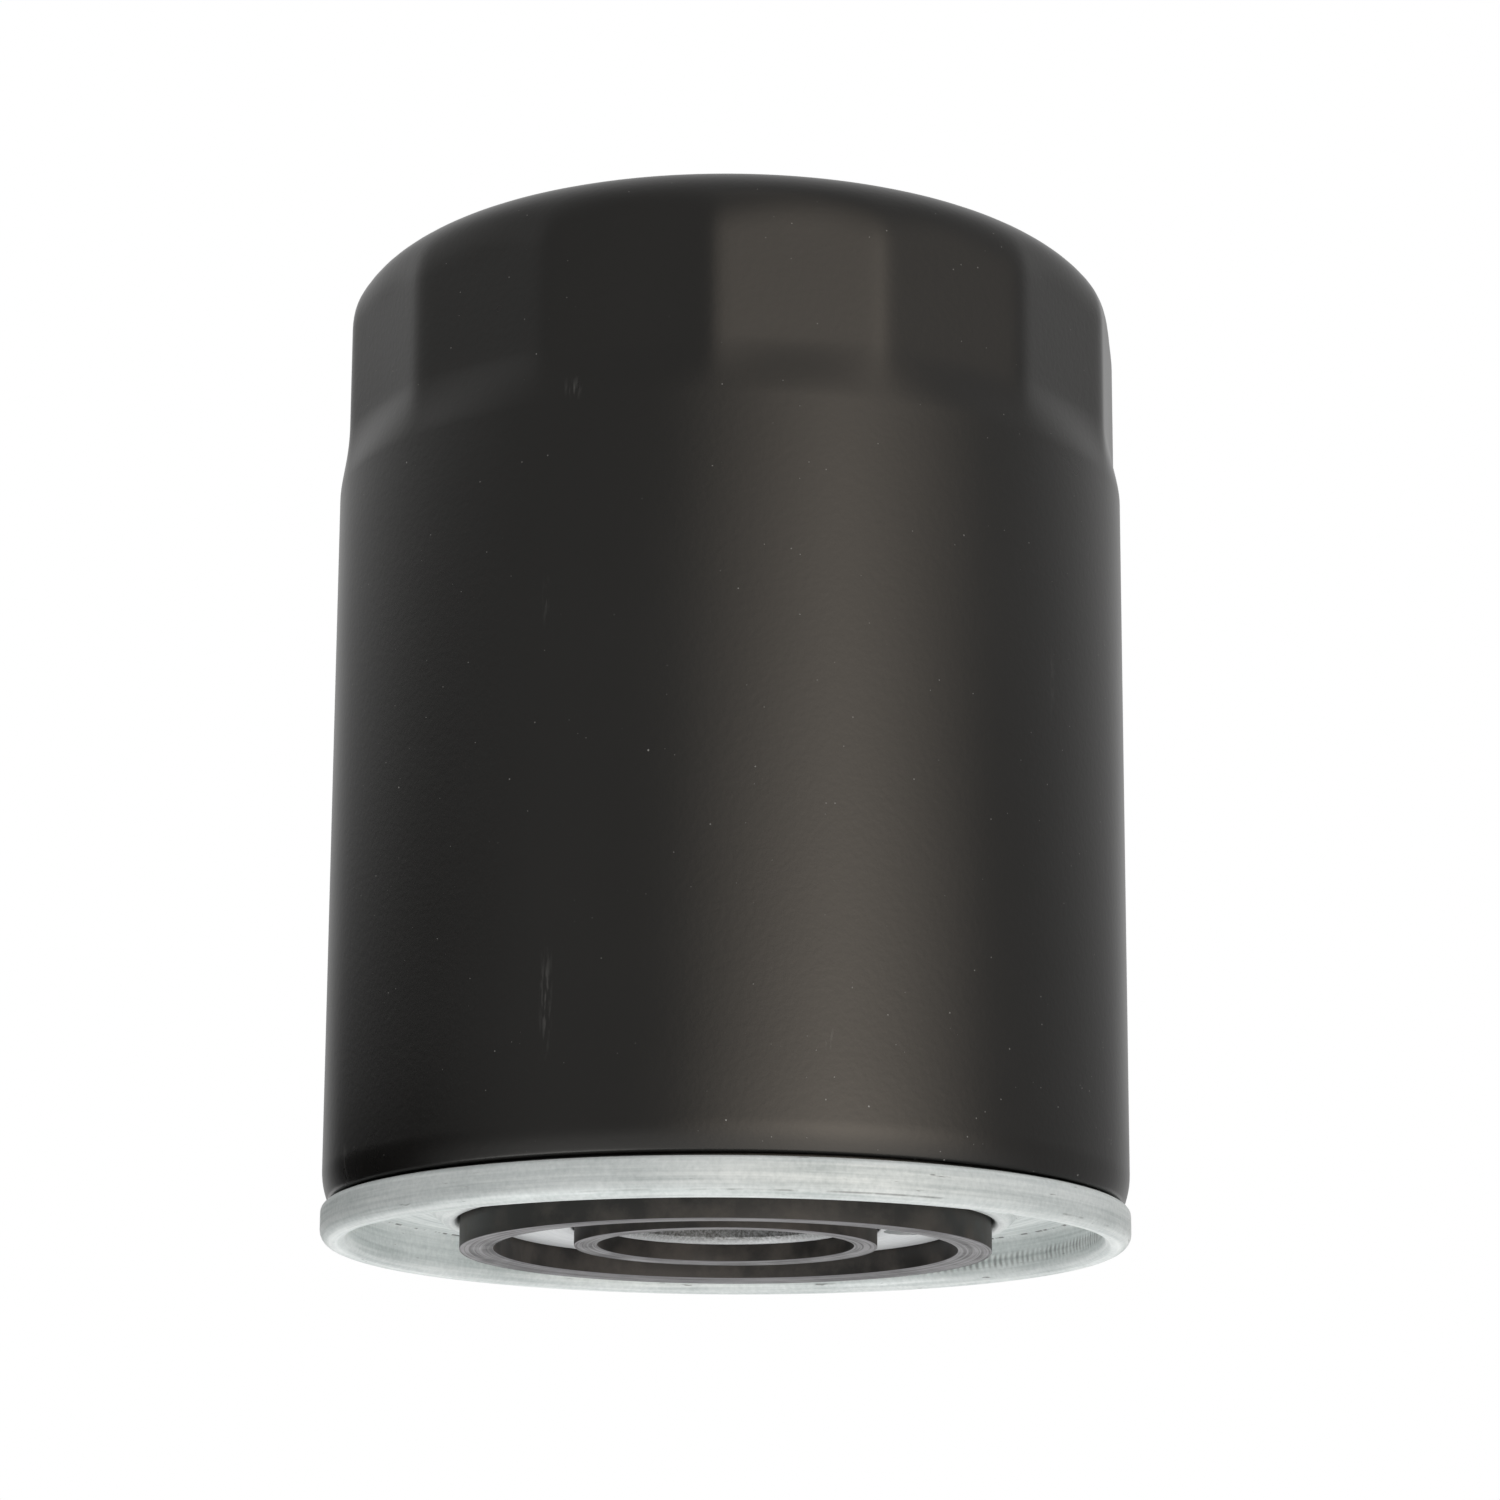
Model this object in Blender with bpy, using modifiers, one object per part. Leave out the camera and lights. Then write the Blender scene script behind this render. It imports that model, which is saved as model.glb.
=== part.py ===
"""Spin-on oil filter: a fluted black can with a rolled seam, two rubber gaskets and the filter element inside.

The filter stands on its outer gasket: the gasket's sealing face is the plane z = 0, and the can's axis is Z.
"""

import math

import bmesh
import bpy
from mathutils import Matrix

MM = 0.001

# Clearances
FIT = 0.3 * MM             # between pieces that rest on or locate each other
SEAM_GAP = 0.3 * MM        # between the layers of the rolled seam
CUT_PAST = 1.0 * MM        # how far a cutter runs past the faces that it cuts
WELD = 0.005 * MM          # points closer than this are one point

# Can
HEIGHT = 137.0 * MM        # sealing face to dome
RIM_RADIUS = 54.0 * MM     # outside of the rolled seam
RIM_RISE = 0.4 * MM        # sealing face up to the rim
SEAM_HEIGHT = 5.1 * MM
SEAM_STEP = 0.1 * MM       # how far the seam stands out from the can
CAN_WALL = 0.5 * MM
NECK_GAP = 0.35 * MM       # seam up to the can's neck
NECK_FILLET = 1.9 * MM
DOME_REACH = 16.0 * MM     # the dome's rounded edge, in from the wall
DOME_DROP = 12.3 * MM      # and down from the top

# Wrench flats pressed into the dome end
FLATS = 15
FLAT_DEPTH = 1.3 * MM      # at the middle of a flat
FLAT_LENGTH = 13.7 * MM    # the straight part of a flat, below the dome's edge
FLAT_FADE = 7.5 * MM       # how far the flats run up into the dome's edge
SHOULDER = 8.2 * MM        # the slope from the flats out to the can
FLAT_TURN = math.radians(3.5)

# Lid
LID_WALL = 0.5 * MM
LID_FILLET = 0.8 * MM
CHANNEL_DEPTH = 5.95 * MM  # rim up to the floor of the lid's channel
LIP_WIDTH = 1.3 * MM
LIP_SLOPE = 3.4 * MM       # the lip's sloped outer side, measured along the floor

# Outer gasket
GASKET_RADIUS = 35.5 * MM
GASKET_WIDTH = 4.5 * MM
GASKET_PLAY = 0.3 * MM     # between a gasket and the walls of its groove
GASKET_PROUD = 3.6 * MM    # how far the gasket stands out of its lip

# Base plate
PLATE_THICKNESS = 4.0 * MM
PLATE_MARGIN = 2.0 * MM    # plate's edge in from the lid's inner wall
BOSS_FACE = 3.2 * MM       # sealing face up to the boss inside the gasket
RECESS_DEPTH = 2.5 * MM
RECESS_MARGIN = 1.4 * MM   # recess edge in from the boss edge
THREAD_RADIUS = 15.2 * MM  # at the thread's crests
MOUTH_CHAMFER = 0.8 * MM   # lead-in of the threaded hole
MOUTH_LAND = 0.85 * MM     # flat between the lead-in and the inner gasket's groove
NECK_WALL = 2.4 * MM
NECK_RISE = 3.5 * MM       # threaded neck above the plate
INLETS = 6
INLET_RADIUS = 3.3 * MM
INLET_CIRCLE = 24.5 * MM
INLET_TURN = math.radians(4.0)

# Inner gasket
INNER_GASKET_WIDTH = 3.1 * MM
INNER_GASKET_FACE = 0.75 * MM
INNER_GROOVE_DEPTH = 2.4 * MM

# Anti-drain valve
VALVE_COLLAR = 2.6 * MM
VALVE_STAND = 1.5 * MM     # collar above the threaded neck
VALVE_SKIRT = 1.4 * MM
VALVE_LIP = 0.9 * MM
VALVE_RISE = 3.2 * MM      # the skirt's fall from collar to lip

# Filter element
FLOW_GAP = 7.85 * MM       # can wall to element
CAP_WALL = 0.5 * MM
CAP_RIM = 5.0 * MM
BOND_DEPTH = 2.5 * MM
HUB_RADIUS = 16.6 * MM
TUBE_WALL = 0.5 * MM
HOLE_ROWS = 5
HOLE_COLUMNS = 5
HOLE_RADIUS = 2.6 * MM
PLEATS = 40
PAPER = 0.65 * MM
PLEAT_GAP = 1.1 * MM       # paper to the tube, and to the caps' rims
CLIP_WALL = 0.4 * MM
CLIP_DEPTH = 5.0 * MM

# Bypass valve in the upper end cap
PORT_RADIUS = 7.0 * MM
SEAT_WALL = 3.0 * MM
SEAT_FLANGE = 2.4 * MM
SEAT_FLANGE_WALL = 0.9 * MM
SEAT_DROP = 1.5 * MM       # seat below the end cap's floor
SEAL_THICKNESS = 1.2 * MM
SEAL_OVERLAP = 1.2 * MM    # seal inside the port's edge
POPPET_THICKNESS = 1.2 * MM
STEM_RADIUS = 1.8 * MM
STEM_END = 2.0 * MM        # stem below the cage
CAGE_WALL = 0.6 * MM
CAGE_DEPTH = 17.0 * MM
CAGE_PLAY = 2.4 * MM       # poppet to the cage's wall
CAGE_FLANGE = 3.2 * MM
CAGE_WINDOW = 9.0 * MM
VALVE_WIRE = 1.0 * MM
VALVE_COIL_RADIUS = 5.0 * MM
VALVE_COILS = 3.0

# Element spring under the dome
SPRING_SPACE = 23.0 * MM   # end cap up to the dome
SPRING_WIRE = 2.2 * MM
SPRING_RADIUS = 16.5 * MM
SPRING_COILS = 3.0
SPRING_SEAT_WALL = 0.6 * MM
SPRING_SEAT_RIM = 2.6 * MM

# Facets
FLAT_STEPS = 3             # round the can, for each flat
CAN_STEPS = FLATS * FLAT_STEPS
INNER_STEPS = 40
ELEMENT_STEPS = 24
SMALL_STEPS = 20
INLET_STEPS = 10
HOLE_STEPS = 8
DOME_STEPS = 4
BEAD_STEPS = 2
COIL_POINTS = 10           # per turn
END_TURN = 0.5             # turn at each end of a spring that lies flat

# Radii of the seam's five layers, at the middle of each sheet, from the outside in
LAYER_STEP = LID_WALL / 2 + SEAM_GAP + CAN_WALL / 2
SEAM_WALL_R = RIM_RADIUS - LID_WALL / 2
BODY_HOOK_R = SEAM_WALL_R - LAYER_STEP
COVER_HOOK_R = BODY_HOOK_R - LAYER_STEP
BODY_WALL_R = COVER_HOOK_R - LAYER_STEP
CHUCK_WALL_R = BODY_WALL_R - LAYER_STEP
CAN_RADIUS = RIM_RADIUS - SEAM_STEP

# Levels, from the sealing face up
SEAM_TOP = RIM_RISE + SEAM_HEIGHT
CHANNEL_FLOOR = RIM_RISE + CHANNEL_DEPTH
PLATE_LOW = CHANNEL_FLOOR + LID_WALL + FIT
PLATE_TOP = PLATE_LOW + PLATE_THICKNESS
RECESS_FLOOR = PLATE_TOP - RECESS_DEPTH
NECK_TOP = PLATE_TOP + NECK_RISE
VALVE_LOW = RECESS_FLOOR + FIT
VALVE_TOP = NECK_TOP + VALVE_STAND
ELEMENT_LOW = VALVE_TOP + FIT
LOWER_CAP_FLOOR = ELEMENT_LOW + CAP_WALL
FLAT_TOP = HEIGHT - DOME_DROP
FLAT_LOW = FLAT_TOP - FLAT_LENGTH
DOME_INSIDE = HEIGHT - CAN_WALL
ELEMENT_TOP = DOME_INSIDE - SPRING_SPACE
UPPER_CAP_FLOOR = ELEMENT_TOP - CAP_WALL
LOWER_BOND_TOP = LOWER_CAP_FLOOR + FIT + BOND_DEPTH
UPPER_BOND_LOW = UPPER_CAP_FLOOR - FIT - BOND_DEPTH
MEDIA_LOW = LOWER_BOND_TOP + FIT
MEDIA_TOP = UPPER_BOND_LOW - FIT
SEAT_LOW = UPPER_CAP_FLOOR - SEAT_DROP
SEAL_TOP = SEAT_LOW - FIT
SEAL_LOW = SEAL_TOP - SEAL_THICKNESS
POPPET_TOP = SEAL_LOW - FIT
POPPET_LOW = POPPET_TOP - POPPET_THICKNESS
CAGE_TOP = UPPER_CAP_FLOOR - FIT
CAGE_LOW = CAGE_TOP - CAGE_DEPTH
SPRING_SEAT_LOW = ELEMENT_TOP + FIT
SPRING_SEAT_TOP = SPRING_SEAT_LOW + SPRING_SEAT_WALL

# Radii of what seats on what
GASKET_HOLE = GASKET_RADIUS - GASKET_WIDTH
BOSS_RADIUS = GASKET_HOLE - GASKET_PLAY
RECESS_RADIUS = BOSS_RADIUS - RECESS_MARGIN
PLATE_RADIUS = CHUCK_WALL_R - LID_WALL / 2 - PLATE_MARGIN
MOUTH_RADIUS = THREAD_RADIUS + MOUTH_CHAMFER
INNER_GROOVE_IN = MOUTH_RADIUS + MOUTH_LAND
INNER_GASKET_HOLE = INNER_GROOVE_IN + GASKET_PLAY
INNER_GASKET_RADIUS = INNER_GASKET_HOLE + INNER_GASKET_WIDTH
INNER_GROOVE_OUT = INNER_GASKET_RADIUS + GASKET_PLAY
INNER_GROOVE_FLOOR = BOSS_FACE + INNER_GROOVE_DEPTH
NECK_RADIUS = THREAD_RADIUS + NECK_WALL
VALVE_BORE = NECK_RADIUS + FIT
ELEMENT_RADIUS = CAN_RADIUS - CAN_WALL - FLOW_GAP
TUBE_BORE = HUB_RADIUS + FIT
TUBE_RADIUS = TUBE_BORE + TUBE_WALL
BOND_HOLE = TUBE_RADIUS + FIT
BOND_RADIUS = ELEMENT_RADIUS - CAP_WALL - FIT
MEDIA_HOLE = TUBE_RADIUS + PLEAT_GAP
MEDIA_RADIUS = ELEMENT_RADIUS - CAP_WALL - PLEAT_GAP
QUARTER_PLEAT = math.pi / PLEATS / 2
SEAT_RADIUS = PORT_RADIUS + SEAT_WALL
POPPET_RADIUS = SEAT_RADIUS - FIT
CAGE_RADIUS = POPPET_RADIUS + CAGE_PLAY

# Finishes: colour, roughness and metallic value
BLACK_PAINT = ((0.018, 0.017, 0.016), 0.45, 0.0)
ZINC_SHEET = ((0.62, 0.65, 0.65), 0.38, 1.0)
ZINC_PLATE = ((0.60, 0.62, 0.62), 0.42, 1.0)
RUBBER = ((0.030, 0.028, 0.027), 0.60, 0.0)
TINPLATE = ((0.56, 0.56, 0.54), 0.35, 1.0)
FILTER_PAPER = ((0.72, 0.55, 0.28), 0.90, 0.0)
PLASTISOL = ((0.42, 0.10, 0.06), 0.50, 0.0)
VALVE_STEEL = ((0.50, 0.50, 0.49), 0.32, 1.0)
SPRING_STEEL = ((0.38, 0.37, 0.35), 0.35, 1.0)


# Objects and shared shapes

def collection(name):
    made = bpy.data.collections.new(name)
    bpy.context.scene.collection.children.link(made)
    return made


def add(name, data, finish):
    """An object of the filter, with its own material."""
    colour, roughness, metallic = finish
    paint = bpy.data.materials.new(name + "_finish")
    paint.use_nodes = True
    shader = paint.node_tree.nodes["Principled BSDF"]
    shader.inputs["Base Color"].default_value = (*colour, 1.0)
    shader.inputs["Roughness"].default_value = roughness
    shader.inputs["Metallic"].default_value = metallic
    data.materials.append(paint)
    made = bpy.data.objects.new(name, data)
    PARTS.objects.link(made)
    return made


def unit(start, end):
    """The direction from one (r, z) point to another."""
    length = math.hypot(end[0] - start[0], end[1] - start[1])
    return (end[0] - start[0]) / length, (end[1] - start[1]) / length


def rounded(corners):
    """A path of (r, z) points. A corner (r, z, fillet, steps) becomes an arc of that radius."""
    path = []
    for i, corner in enumerate(corners):
        if len(corner) == 2:
            path.append(corner)
            continue
        r, z, fillet, steps = corner
        back = unit(corners[i - 1], corner)
        ahead = unit(corner, corners[i + 1])
        turn = math.atan2(back[0] * ahead[1] - back[1] * ahead[0], back[0] * ahead[0] + back[1] * ahead[1])
        reach = fillet * math.tan(abs(turn) / 2)
        side = math.copysign(fillet, turn)
        start = (r - back[0] * reach, z - back[1] * reach)
        centre = (start[0] - back[1] * side, start[1] + back[0] * side)
        arm = (start[0] - centre[0], start[1] - centre[1])
        for step in range(steps + 1):
            cos, sin = math.cos(turn * step / steps), math.sin(turn * step / steps)
            point = (centre[0] + arm[0] * cos - arm[1] * sin, centre[1] + arm[0] * sin + arm[1] * cos)
            if not path or math.dist(path[-1], point) > WELD:
                path.append(point)
    return path


def sheet(path, wall):
    """The outline of a pressed sheet, whose middle follows the path."""
    left, right = [], []
    for i, (r, z) in enumerate(path):
        back = unit(path[i - 1], path[i]) if i else unit(path[0], path[1])
        ahead = unit(path[i], path[i + 1]) if i + 1 < len(path) else back
        reach = wall / 2 / (1 + back[0] * ahead[0] + back[1] * ahead[1])
        across = (-(back[1] + ahead[1]) * reach, (back[0] + ahead[0]) * reach)
        left.append((r + across[0], z + across[1]))
        right.append((r - across[0], z - across[1]))
    return left + right[::-1]


def turned(name, outline, finish, steps=ELEMENT_STEPS):
    """A solid of revolution. An outline that starts and ends on the axis is left open there."""
    area = sum(a[0] * b[1] - b[0] * a[1] for a, b in zip(outline, outline[1:] + outline[:1]))
    if area > 0:
        outline = outline[::-1]
    edges = [(i, i + 1) for i in range(len(outline) - 1)]
    if outline[0][0] > 0:
        edges.append((len(outline) - 1, 0))
    mesh = bpy.data.meshes.new(name)
    mesh.from_pydata([(r, 0.0, z) for r, z in outline], edges, [])
    made = add(name, mesh, finish)
    screw = made.modifiers.new("turn", "SCREW")
    screw.steps = steps
    screw.render_steps = steps
    screw.use_merge_vertices = True
    screw.merge_threshold = WELD
    return made


def ring(name, inner, outer, low, high, finish, steps=ELEMENT_STEPS):
    return turned(name, [(inner, low), (outer, low), (outer, high), (inner, high)], finish, steps)


def extruded(name, outlines, low, high, finish):
    """Flat outlines raised from one level to another. An outline inside another is a hole."""
    curve = bpy.data.curves.new(name, "CURVE")
    curve.dimensions = "2D"
    curve.fill_mode = "BOTH"
    curve.extrude = (high - low) / 2
    for outline in outlines:
        spline = curve.splines.new("POLY")
        spline.points.add(len(outline) - 1)
        spline.use_cyclic_u = True
        for point, (x, y) in zip(spline.points, outline):
            point.co = (x, y, 0.0, 1.0)
    made = add(name, curve, finish)
    made.location.z = (high + low) / 2


def at(angle, radius, z, lean=0.0):
    """A place round the axis. lean turns its own Z axis from upright towards the outside."""
    place = Matrix.Rotation(angle, 4, "Z") @ Matrix.Translation((radius, 0.0, z))
    return place @ Matrix.Rotation(lean, 4, "Y")


def cut(made, name, shape):
    """Takes the bmesh shape out of the object."""
    mesh = bpy.data.meshes.new(name)
    shape.to_mesh(mesh)
    shape.free()
    cutter = bpy.data.objects.new(name, mesh)
    cutter.display_type = "WIRE"
    cutter.hide_render = True
    CUTTERS.objects.link(cutter)
    boolean = made.modifiers.new(name, "BOOLEAN")
    boolean.operation = "DIFFERENCE"
    boolean.object = cutter


def rods(places, radius, length, steps):
    """Round cutters along the Z axes of the places."""
    shape = bmesh.new()
    for place in places:
        bmesh.ops.create_cone(shape, cap_ends=True, segments=steps, radius1=radius, radius2=radius,
                              depth=length, matrix=place)
    return shape


def coil(name, low, high, radius, wire, coils):
    """Compression spring between two levels, with flat ends."""
    start, end = low + wire / 2, high - wire / 2
    turns = coils + 2 * END_TURN
    count = round(turns * COIL_POINTS)
    points = []
    for i in range(count + 1):
        turn = turns * i / count
        climb = min(max(turn - END_TURN, 0.0), coils) / coils
        angle = 2 * math.pi * turn
        points.append((radius * math.cos(angle), radius * math.sin(angle), start + (end - start) * climb))
    half_turn = COIL_POINTS // 2
    spans = [math.dist(a, b) for i, a in enumerate(points) for b in points[i + half_turn:]]
    print(f"{name}: least gap between turns {(min(spans) - wire) / MM:.2f} mm")
    curve = bpy.data.curves.new(name, "CURVE")
    curve.dimensions = "3D"
    curve.bevel_depth = wire / 2
    curve.bevel_resolution = 1
    curve.use_fill_caps = True
    spline = curve.splines.new("POLY")
    spline.points.add(count)
    for point, place in zip(spline.points, points):
        point.co = (*place, 1.0)
    add(name, curve, SPRING_STEEL)


# Can and lid, joined by the rolled seam

def smooth(share):
    """Rises from 0 to 1 with a level start and end."""
    share = min(max(share, 0.0), 1.0)
    return share * share * (3 - 2 * share)


def flat_scale(angle, z):
    """The can's radius at an angle and a height, as a share of the round can's."""
    pitch = 2 * math.pi / FLATS
    from_middle = angle % pitch - pitch / 2
    flat_radius = (CAN_RADIUS - FLAT_DEPTH) / math.cos(from_middle)
    pressed = smooth((z - FLAT_LOW) / SHOULDER + 1) * (1 - smooth((z - FLAT_TOP) / FLAT_FADE))
    return 1 - pressed * (1 - flat_radius / CAN_RADIUS)


def dome_edge(wall_r, dome_z):
    """The dome's rounded edge from the top to the wall, a quarter of an ellipse."""
    reach = DOME_REACH - CAN_WALL / 2
    drop = DOME_DROP - CAN_WALL / 2
    turns = [math.pi / 2 * step / DOME_STEPS for step in range(DOME_STEPS + 1)]
    return [(wall_r - reach * (1 - math.sin(turn)), dome_z - drop * (1 - math.cos(turn))) for turn in turns]


def can():
    """Drawn steel can: dome, wrench flats, straight wall, neck, and the hook that the seam is rolled round."""
    wall_r = CAN_RADIUS - CAN_WALL / 2
    dome_z = HEIGHT - CAN_WALL / 2
    neck_z = SEAM_TOP + NECK_GAP + CAN_WALL / 2
    turn_z = RIM_RISE + LID_WALL + SEAM_GAP + CAN_WALL / 2
    hook_fillet = (BODY_HOOK_R - BODY_WALL_R) / 2
    path = rounded([
        (0.0, dome_z),
        *dome_edge(wall_r, dome_z),
        (wall_r, FLAT_LOW),
        (wall_r, FLAT_LOW - SHOULDER / 2),
        (wall_r, FLAT_LOW - SHOULDER),
        (wall_r, neck_z, NECK_FILLET, BEAD_STEPS),
        (BODY_WALL_R, neck_z),
        (BODY_WALL_R, turn_z, hook_fillet, BEAD_STEPS),
        (BODY_HOOK_R, turn_z, hook_fillet, BEAD_STEPS),
        (BODY_HOOK_R, SEAM_TOP - LID_WALL - CAN_WALL),
    ])
    made = turned("can", sheet(path, CAN_WALL), BLACK_PAINT, CAN_STEPS)
    graph = bpy.context.evaluated_depsgraph_get()
    pressed = bpy.data.meshes.new_from_object(made.evaluated_get(graph))
    for vertex in pressed.vertices:
        scale = flat_scale(math.atan2(vertex.co.y, vertex.co.x), vertex.co.z)
        vertex.co.x *= scale
        vertex.co.y *= scale
    made.modifiers.clear()
    made.data = pressed
    made.rotation_euler.z = FLAT_TURN


def seam_lid():
    """Pressed zinc-coated lid: the seam's hook and bead, the channel, and the lip and floor of the gasket's groove."""
    bead_z = RIM_RISE + LID_WALL / 2
    crown_z = SEAM_TOP - LID_WALL / 2
    floor_z = CHANNEL_FLOOR + LID_WALL / 2
    lip_z = GASKET_PROUD + LID_WALL / 2
    hook_end = RIM_RISE + LID_WALL + CAN_WALL + 2 * SEAM_GAP
    groove_r = GASKET_RADIUS + GASKET_PLAY + LID_WALL / 2
    bead_fillet = (SEAM_WALL_R - CHUCK_WALL_R) / 2
    crown_fillet = (SEAM_WALL_R - COVER_HOOK_R) / 2
    path = rounded([
        (COVER_HOOK_R, hook_end),
        (COVER_HOOK_R, crown_z, crown_fillet, BEAD_STEPS),
        (SEAM_WALL_R, crown_z, crown_fillet, BEAD_STEPS),
        (SEAM_WALL_R, bead_z, bead_fillet, BEAD_STEPS),
        (CHUCK_WALL_R, bead_z, bead_fillet, BEAD_STEPS),
        (CHUCK_WALL_R, floor_z, LID_FILLET, 1),
        (groove_r + LIP_WIDTH + LIP_SLOPE, floor_z),
        (groove_r + LIP_WIDTH, lip_z),
        (groove_r, lip_z),
        (groove_r, floor_z),
        (BOSS_RADIUS + FIT, floor_z),
    ])
    made = turned("seam_lid", sheet(path, LID_WALL), ZINC_SHEET, CAN_STEPS)
    made.rotation_euler.z = FLAT_TURN


# Base plate and seals

def base_plate():
    """Thick tapped plate: threaded neck, boss inside the gasket, inner gasket's groove and the ring of inlets."""
    made = turned("base_plate", [
        (MOUTH_RADIUS, BOSS_FACE),
        (THREAD_RADIUS, BOSS_FACE + MOUTH_CHAMFER),
        (THREAD_RADIUS, NECK_TOP),
        (NECK_RADIUS, NECK_TOP),
        (NECK_RADIUS, RECESS_FLOOR),
        (RECESS_RADIUS, RECESS_FLOOR),
        (RECESS_RADIUS, PLATE_TOP),
        (PLATE_RADIUS, PLATE_TOP),
        (PLATE_RADIUS, PLATE_LOW),
        (BOSS_RADIUS, PLATE_LOW),
        (BOSS_RADIUS, BOSS_FACE),
        (INNER_GROOVE_OUT, BOSS_FACE),
        (INNER_GROOVE_OUT, INNER_GROOVE_FLOOR),
        (INNER_GROOVE_IN, INNER_GROOVE_FLOOR),
        (INNER_GROOVE_IN, BOSS_FACE),
    ], ZINC_PLATE, INNER_STEPS)
    middle = (BOSS_FACE + RECESS_FLOOR) / 2
    places = [at(INLET_TURN + 2 * math.pi * i / INLETS, INLET_CIRCLE, middle) for i in range(INLETS)]
    cut(made, "inlet_cutters", rods(places, INLET_RADIUS, RECESS_FLOOR - BOSS_FACE + 2 * CUT_PAST, INLET_STEPS))


def gaskets():
    ring("outer_gasket", GASKET_HOLE, GASKET_RADIUS, 0.0, CHANNEL_FLOOR - FIT, RUBBER, INNER_STEPS)
    ring("inner_gasket", INNER_GASKET_HOLE, INNER_GASKET_RADIUS, INNER_GASKET_FACE, INNER_GROOVE_FLOOR - FIT,
         RUBBER, INNER_STEPS)


def anti_drain_valve():
    """Rubber diaphragm: a collar on the threaded neck, and a skirt whose lip lies outside the inlets."""
    collar = VALVE_BORE + VALVE_COLLAR
    lip = RECESS_RADIUS - FIT
    skirt_z = VALVE_LOW + VALVE_RISE
    turned("anti_drain_valve", [
        (VALVE_BORE, VALVE_LOW),
        (collar, VALVE_LOW),
        (collar, skirt_z),
        (lip - VALVE_LIP, VALVE_LOW),
        (lip, VALVE_LOW),
        (lip, VALVE_LOW + VALVE_LIP),
        (collar, skirt_z + VALVE_SKIRT),
        (collar, VALVE_TOP),
        (VALVE_BORE, VALVE_TOP),
    ], RUBBER)


# Filter element

def end_caps():
    rim_r = ELEMENT_RADIUS - CAP_WALL / 2
    hub_r = HUB_RADIUS - CAP_WALL / 2
    low_z = ELEMENT_LOW + CAP_WALL / 2
    top_z = ELEMENT_TOP - CAP_WALL / 2
    lower = [(hub_r, low_z + CAP_RIM), (hub_r, low_z), (rim_r, low_z), (rim_r, low_z + CAP_RIM)]
    upper = [(SEAT_RADIUS + FIT, top_z), (rim_r, top_z), (rim_r, top_z - CAP_RIM)]
    turned("lower_end_cap", sheet(lower, CAP_WALL), TINPLATE)
    turned("upper_end_cap", sheet(upper, CAP_WALL), TINPLATE)


def bond_rings():
    ring("lower_bond_ring", BOND_HOLE, BOND_RADIUS, LOWER_CAP_FLOOR + FIT, LOWER_BOND_TOP, PLASTISOL)
    ring("upper_bond_ring", BOND_HOLE, BOND_RADIUS, UPPER_BOND_LOW, UPPER_CAP_FLOOR - FIT, PLASTISOL)


def center_tube():
    """Steel tube with rows of holes, each row turned half a pitch from the last."""
    made = ring("center_tube", TUBE_BORE, TUBE_RADIUS, LOWER_CAP_FLOOR + FIT, UPPER_CAP_FLOOR - FIT, TINPLATE)
    low = LOWER_CAP_FLOOR + CAP_RIM
    row_pitch = (CAGE_LOW - low) / HOLE_ROWS
    turn = 2 * math.pi / HOLE_COLUMNS
    places = []
    for row in range(HOLE_ROWS):
        for column in range(HOLE_COLUMNS):
            angle = (column + row % 2 / 2) * turn
            places.append(at(angle, TUBE_RADIUS, low + (row + 0.5) * row_pitch, math.pi / 2))
    cut(made, "hole_cutters", rods(places, HOLE_RADIUS, 2 * (TUBE_WALL + CUT_PAST), HOLE_STEPS))


def pleat_line(side):
    """One face of the pleated paper: side 1 is the outer face and -1 is the inner one."""
    inner = MEDIA_HOLE + (PAPER if side > 0 else 0.0)
    outer = MEDIA_RADIUS - (0.0 if side > 0 else PAPER)
    points = []
    for pleat in range(PLEATS):
        middle = 2 * math.pi * pleat / PLEATS
        for radius, sign in ((inner, -1), (outer, -1), (outer, 1), (inner, 1)):
            angle = middle + sign * (QUARTER_PLEAT + side * PAPER / 2 / radius)
            points.append((radius * math.cos(angle), radius * math.sin(angle)))
    return points


def pleated_media():
    """Filter paper folded into pleats round the tube."""
    extruded("pleated_media", [pleat_line(1), pleat_line(-1)], MEDIA_LOW, MEDIA_TOP, FILTER_PAPER)


def media_clip():
    """Folded steel strip over the pleat where the two ends of the paper meet."""
    inside = QUARTER_PLEAT * MEDIA_RADIUS + PAPER / 2 + FIT
    outside = inside + CLIP_WALL
    crest = MEDIA_RADIUS + FIT
    foot = crest - CLIP_DEPTH
    extruded("media_clip", [[
        (foot, inside),
        (crest, inside),
        (crest, -inside),
        (foot, -inside),
        (foot, -outside),
        (crest + CLIP_WALL, -outside),
        (crest + CLIP_WALL, outside),
        (foot, outside),
    ]], MEDIA_LOW, MEDIA_TOP, TINPLATE)


# Bypass valve

def bypass_seat():
    """Flanged ring in the upper end cap. Its lower face is what the valve closes on."""
    flange_r = SEAT_RADIUS + SEAT_FLANGE
    flange_low = ELEMENT_TOP + FIT
    flange_top = flange_low + SEAT_FLANGE_WALL
    turned("bypass_seat", [
        (PORT_RADIUS, SEAT_LOW),
        (SEAT_RADIUS, SEAT_LOW),
        (SEAT_RADIUS, flange_low),
        (flange_r, flange_low),
        (flange_r, flange_top),
        (PORT_RADIUS, flange_top),
    ], VALVE_STEEL, SMALL_STEPS)


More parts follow.
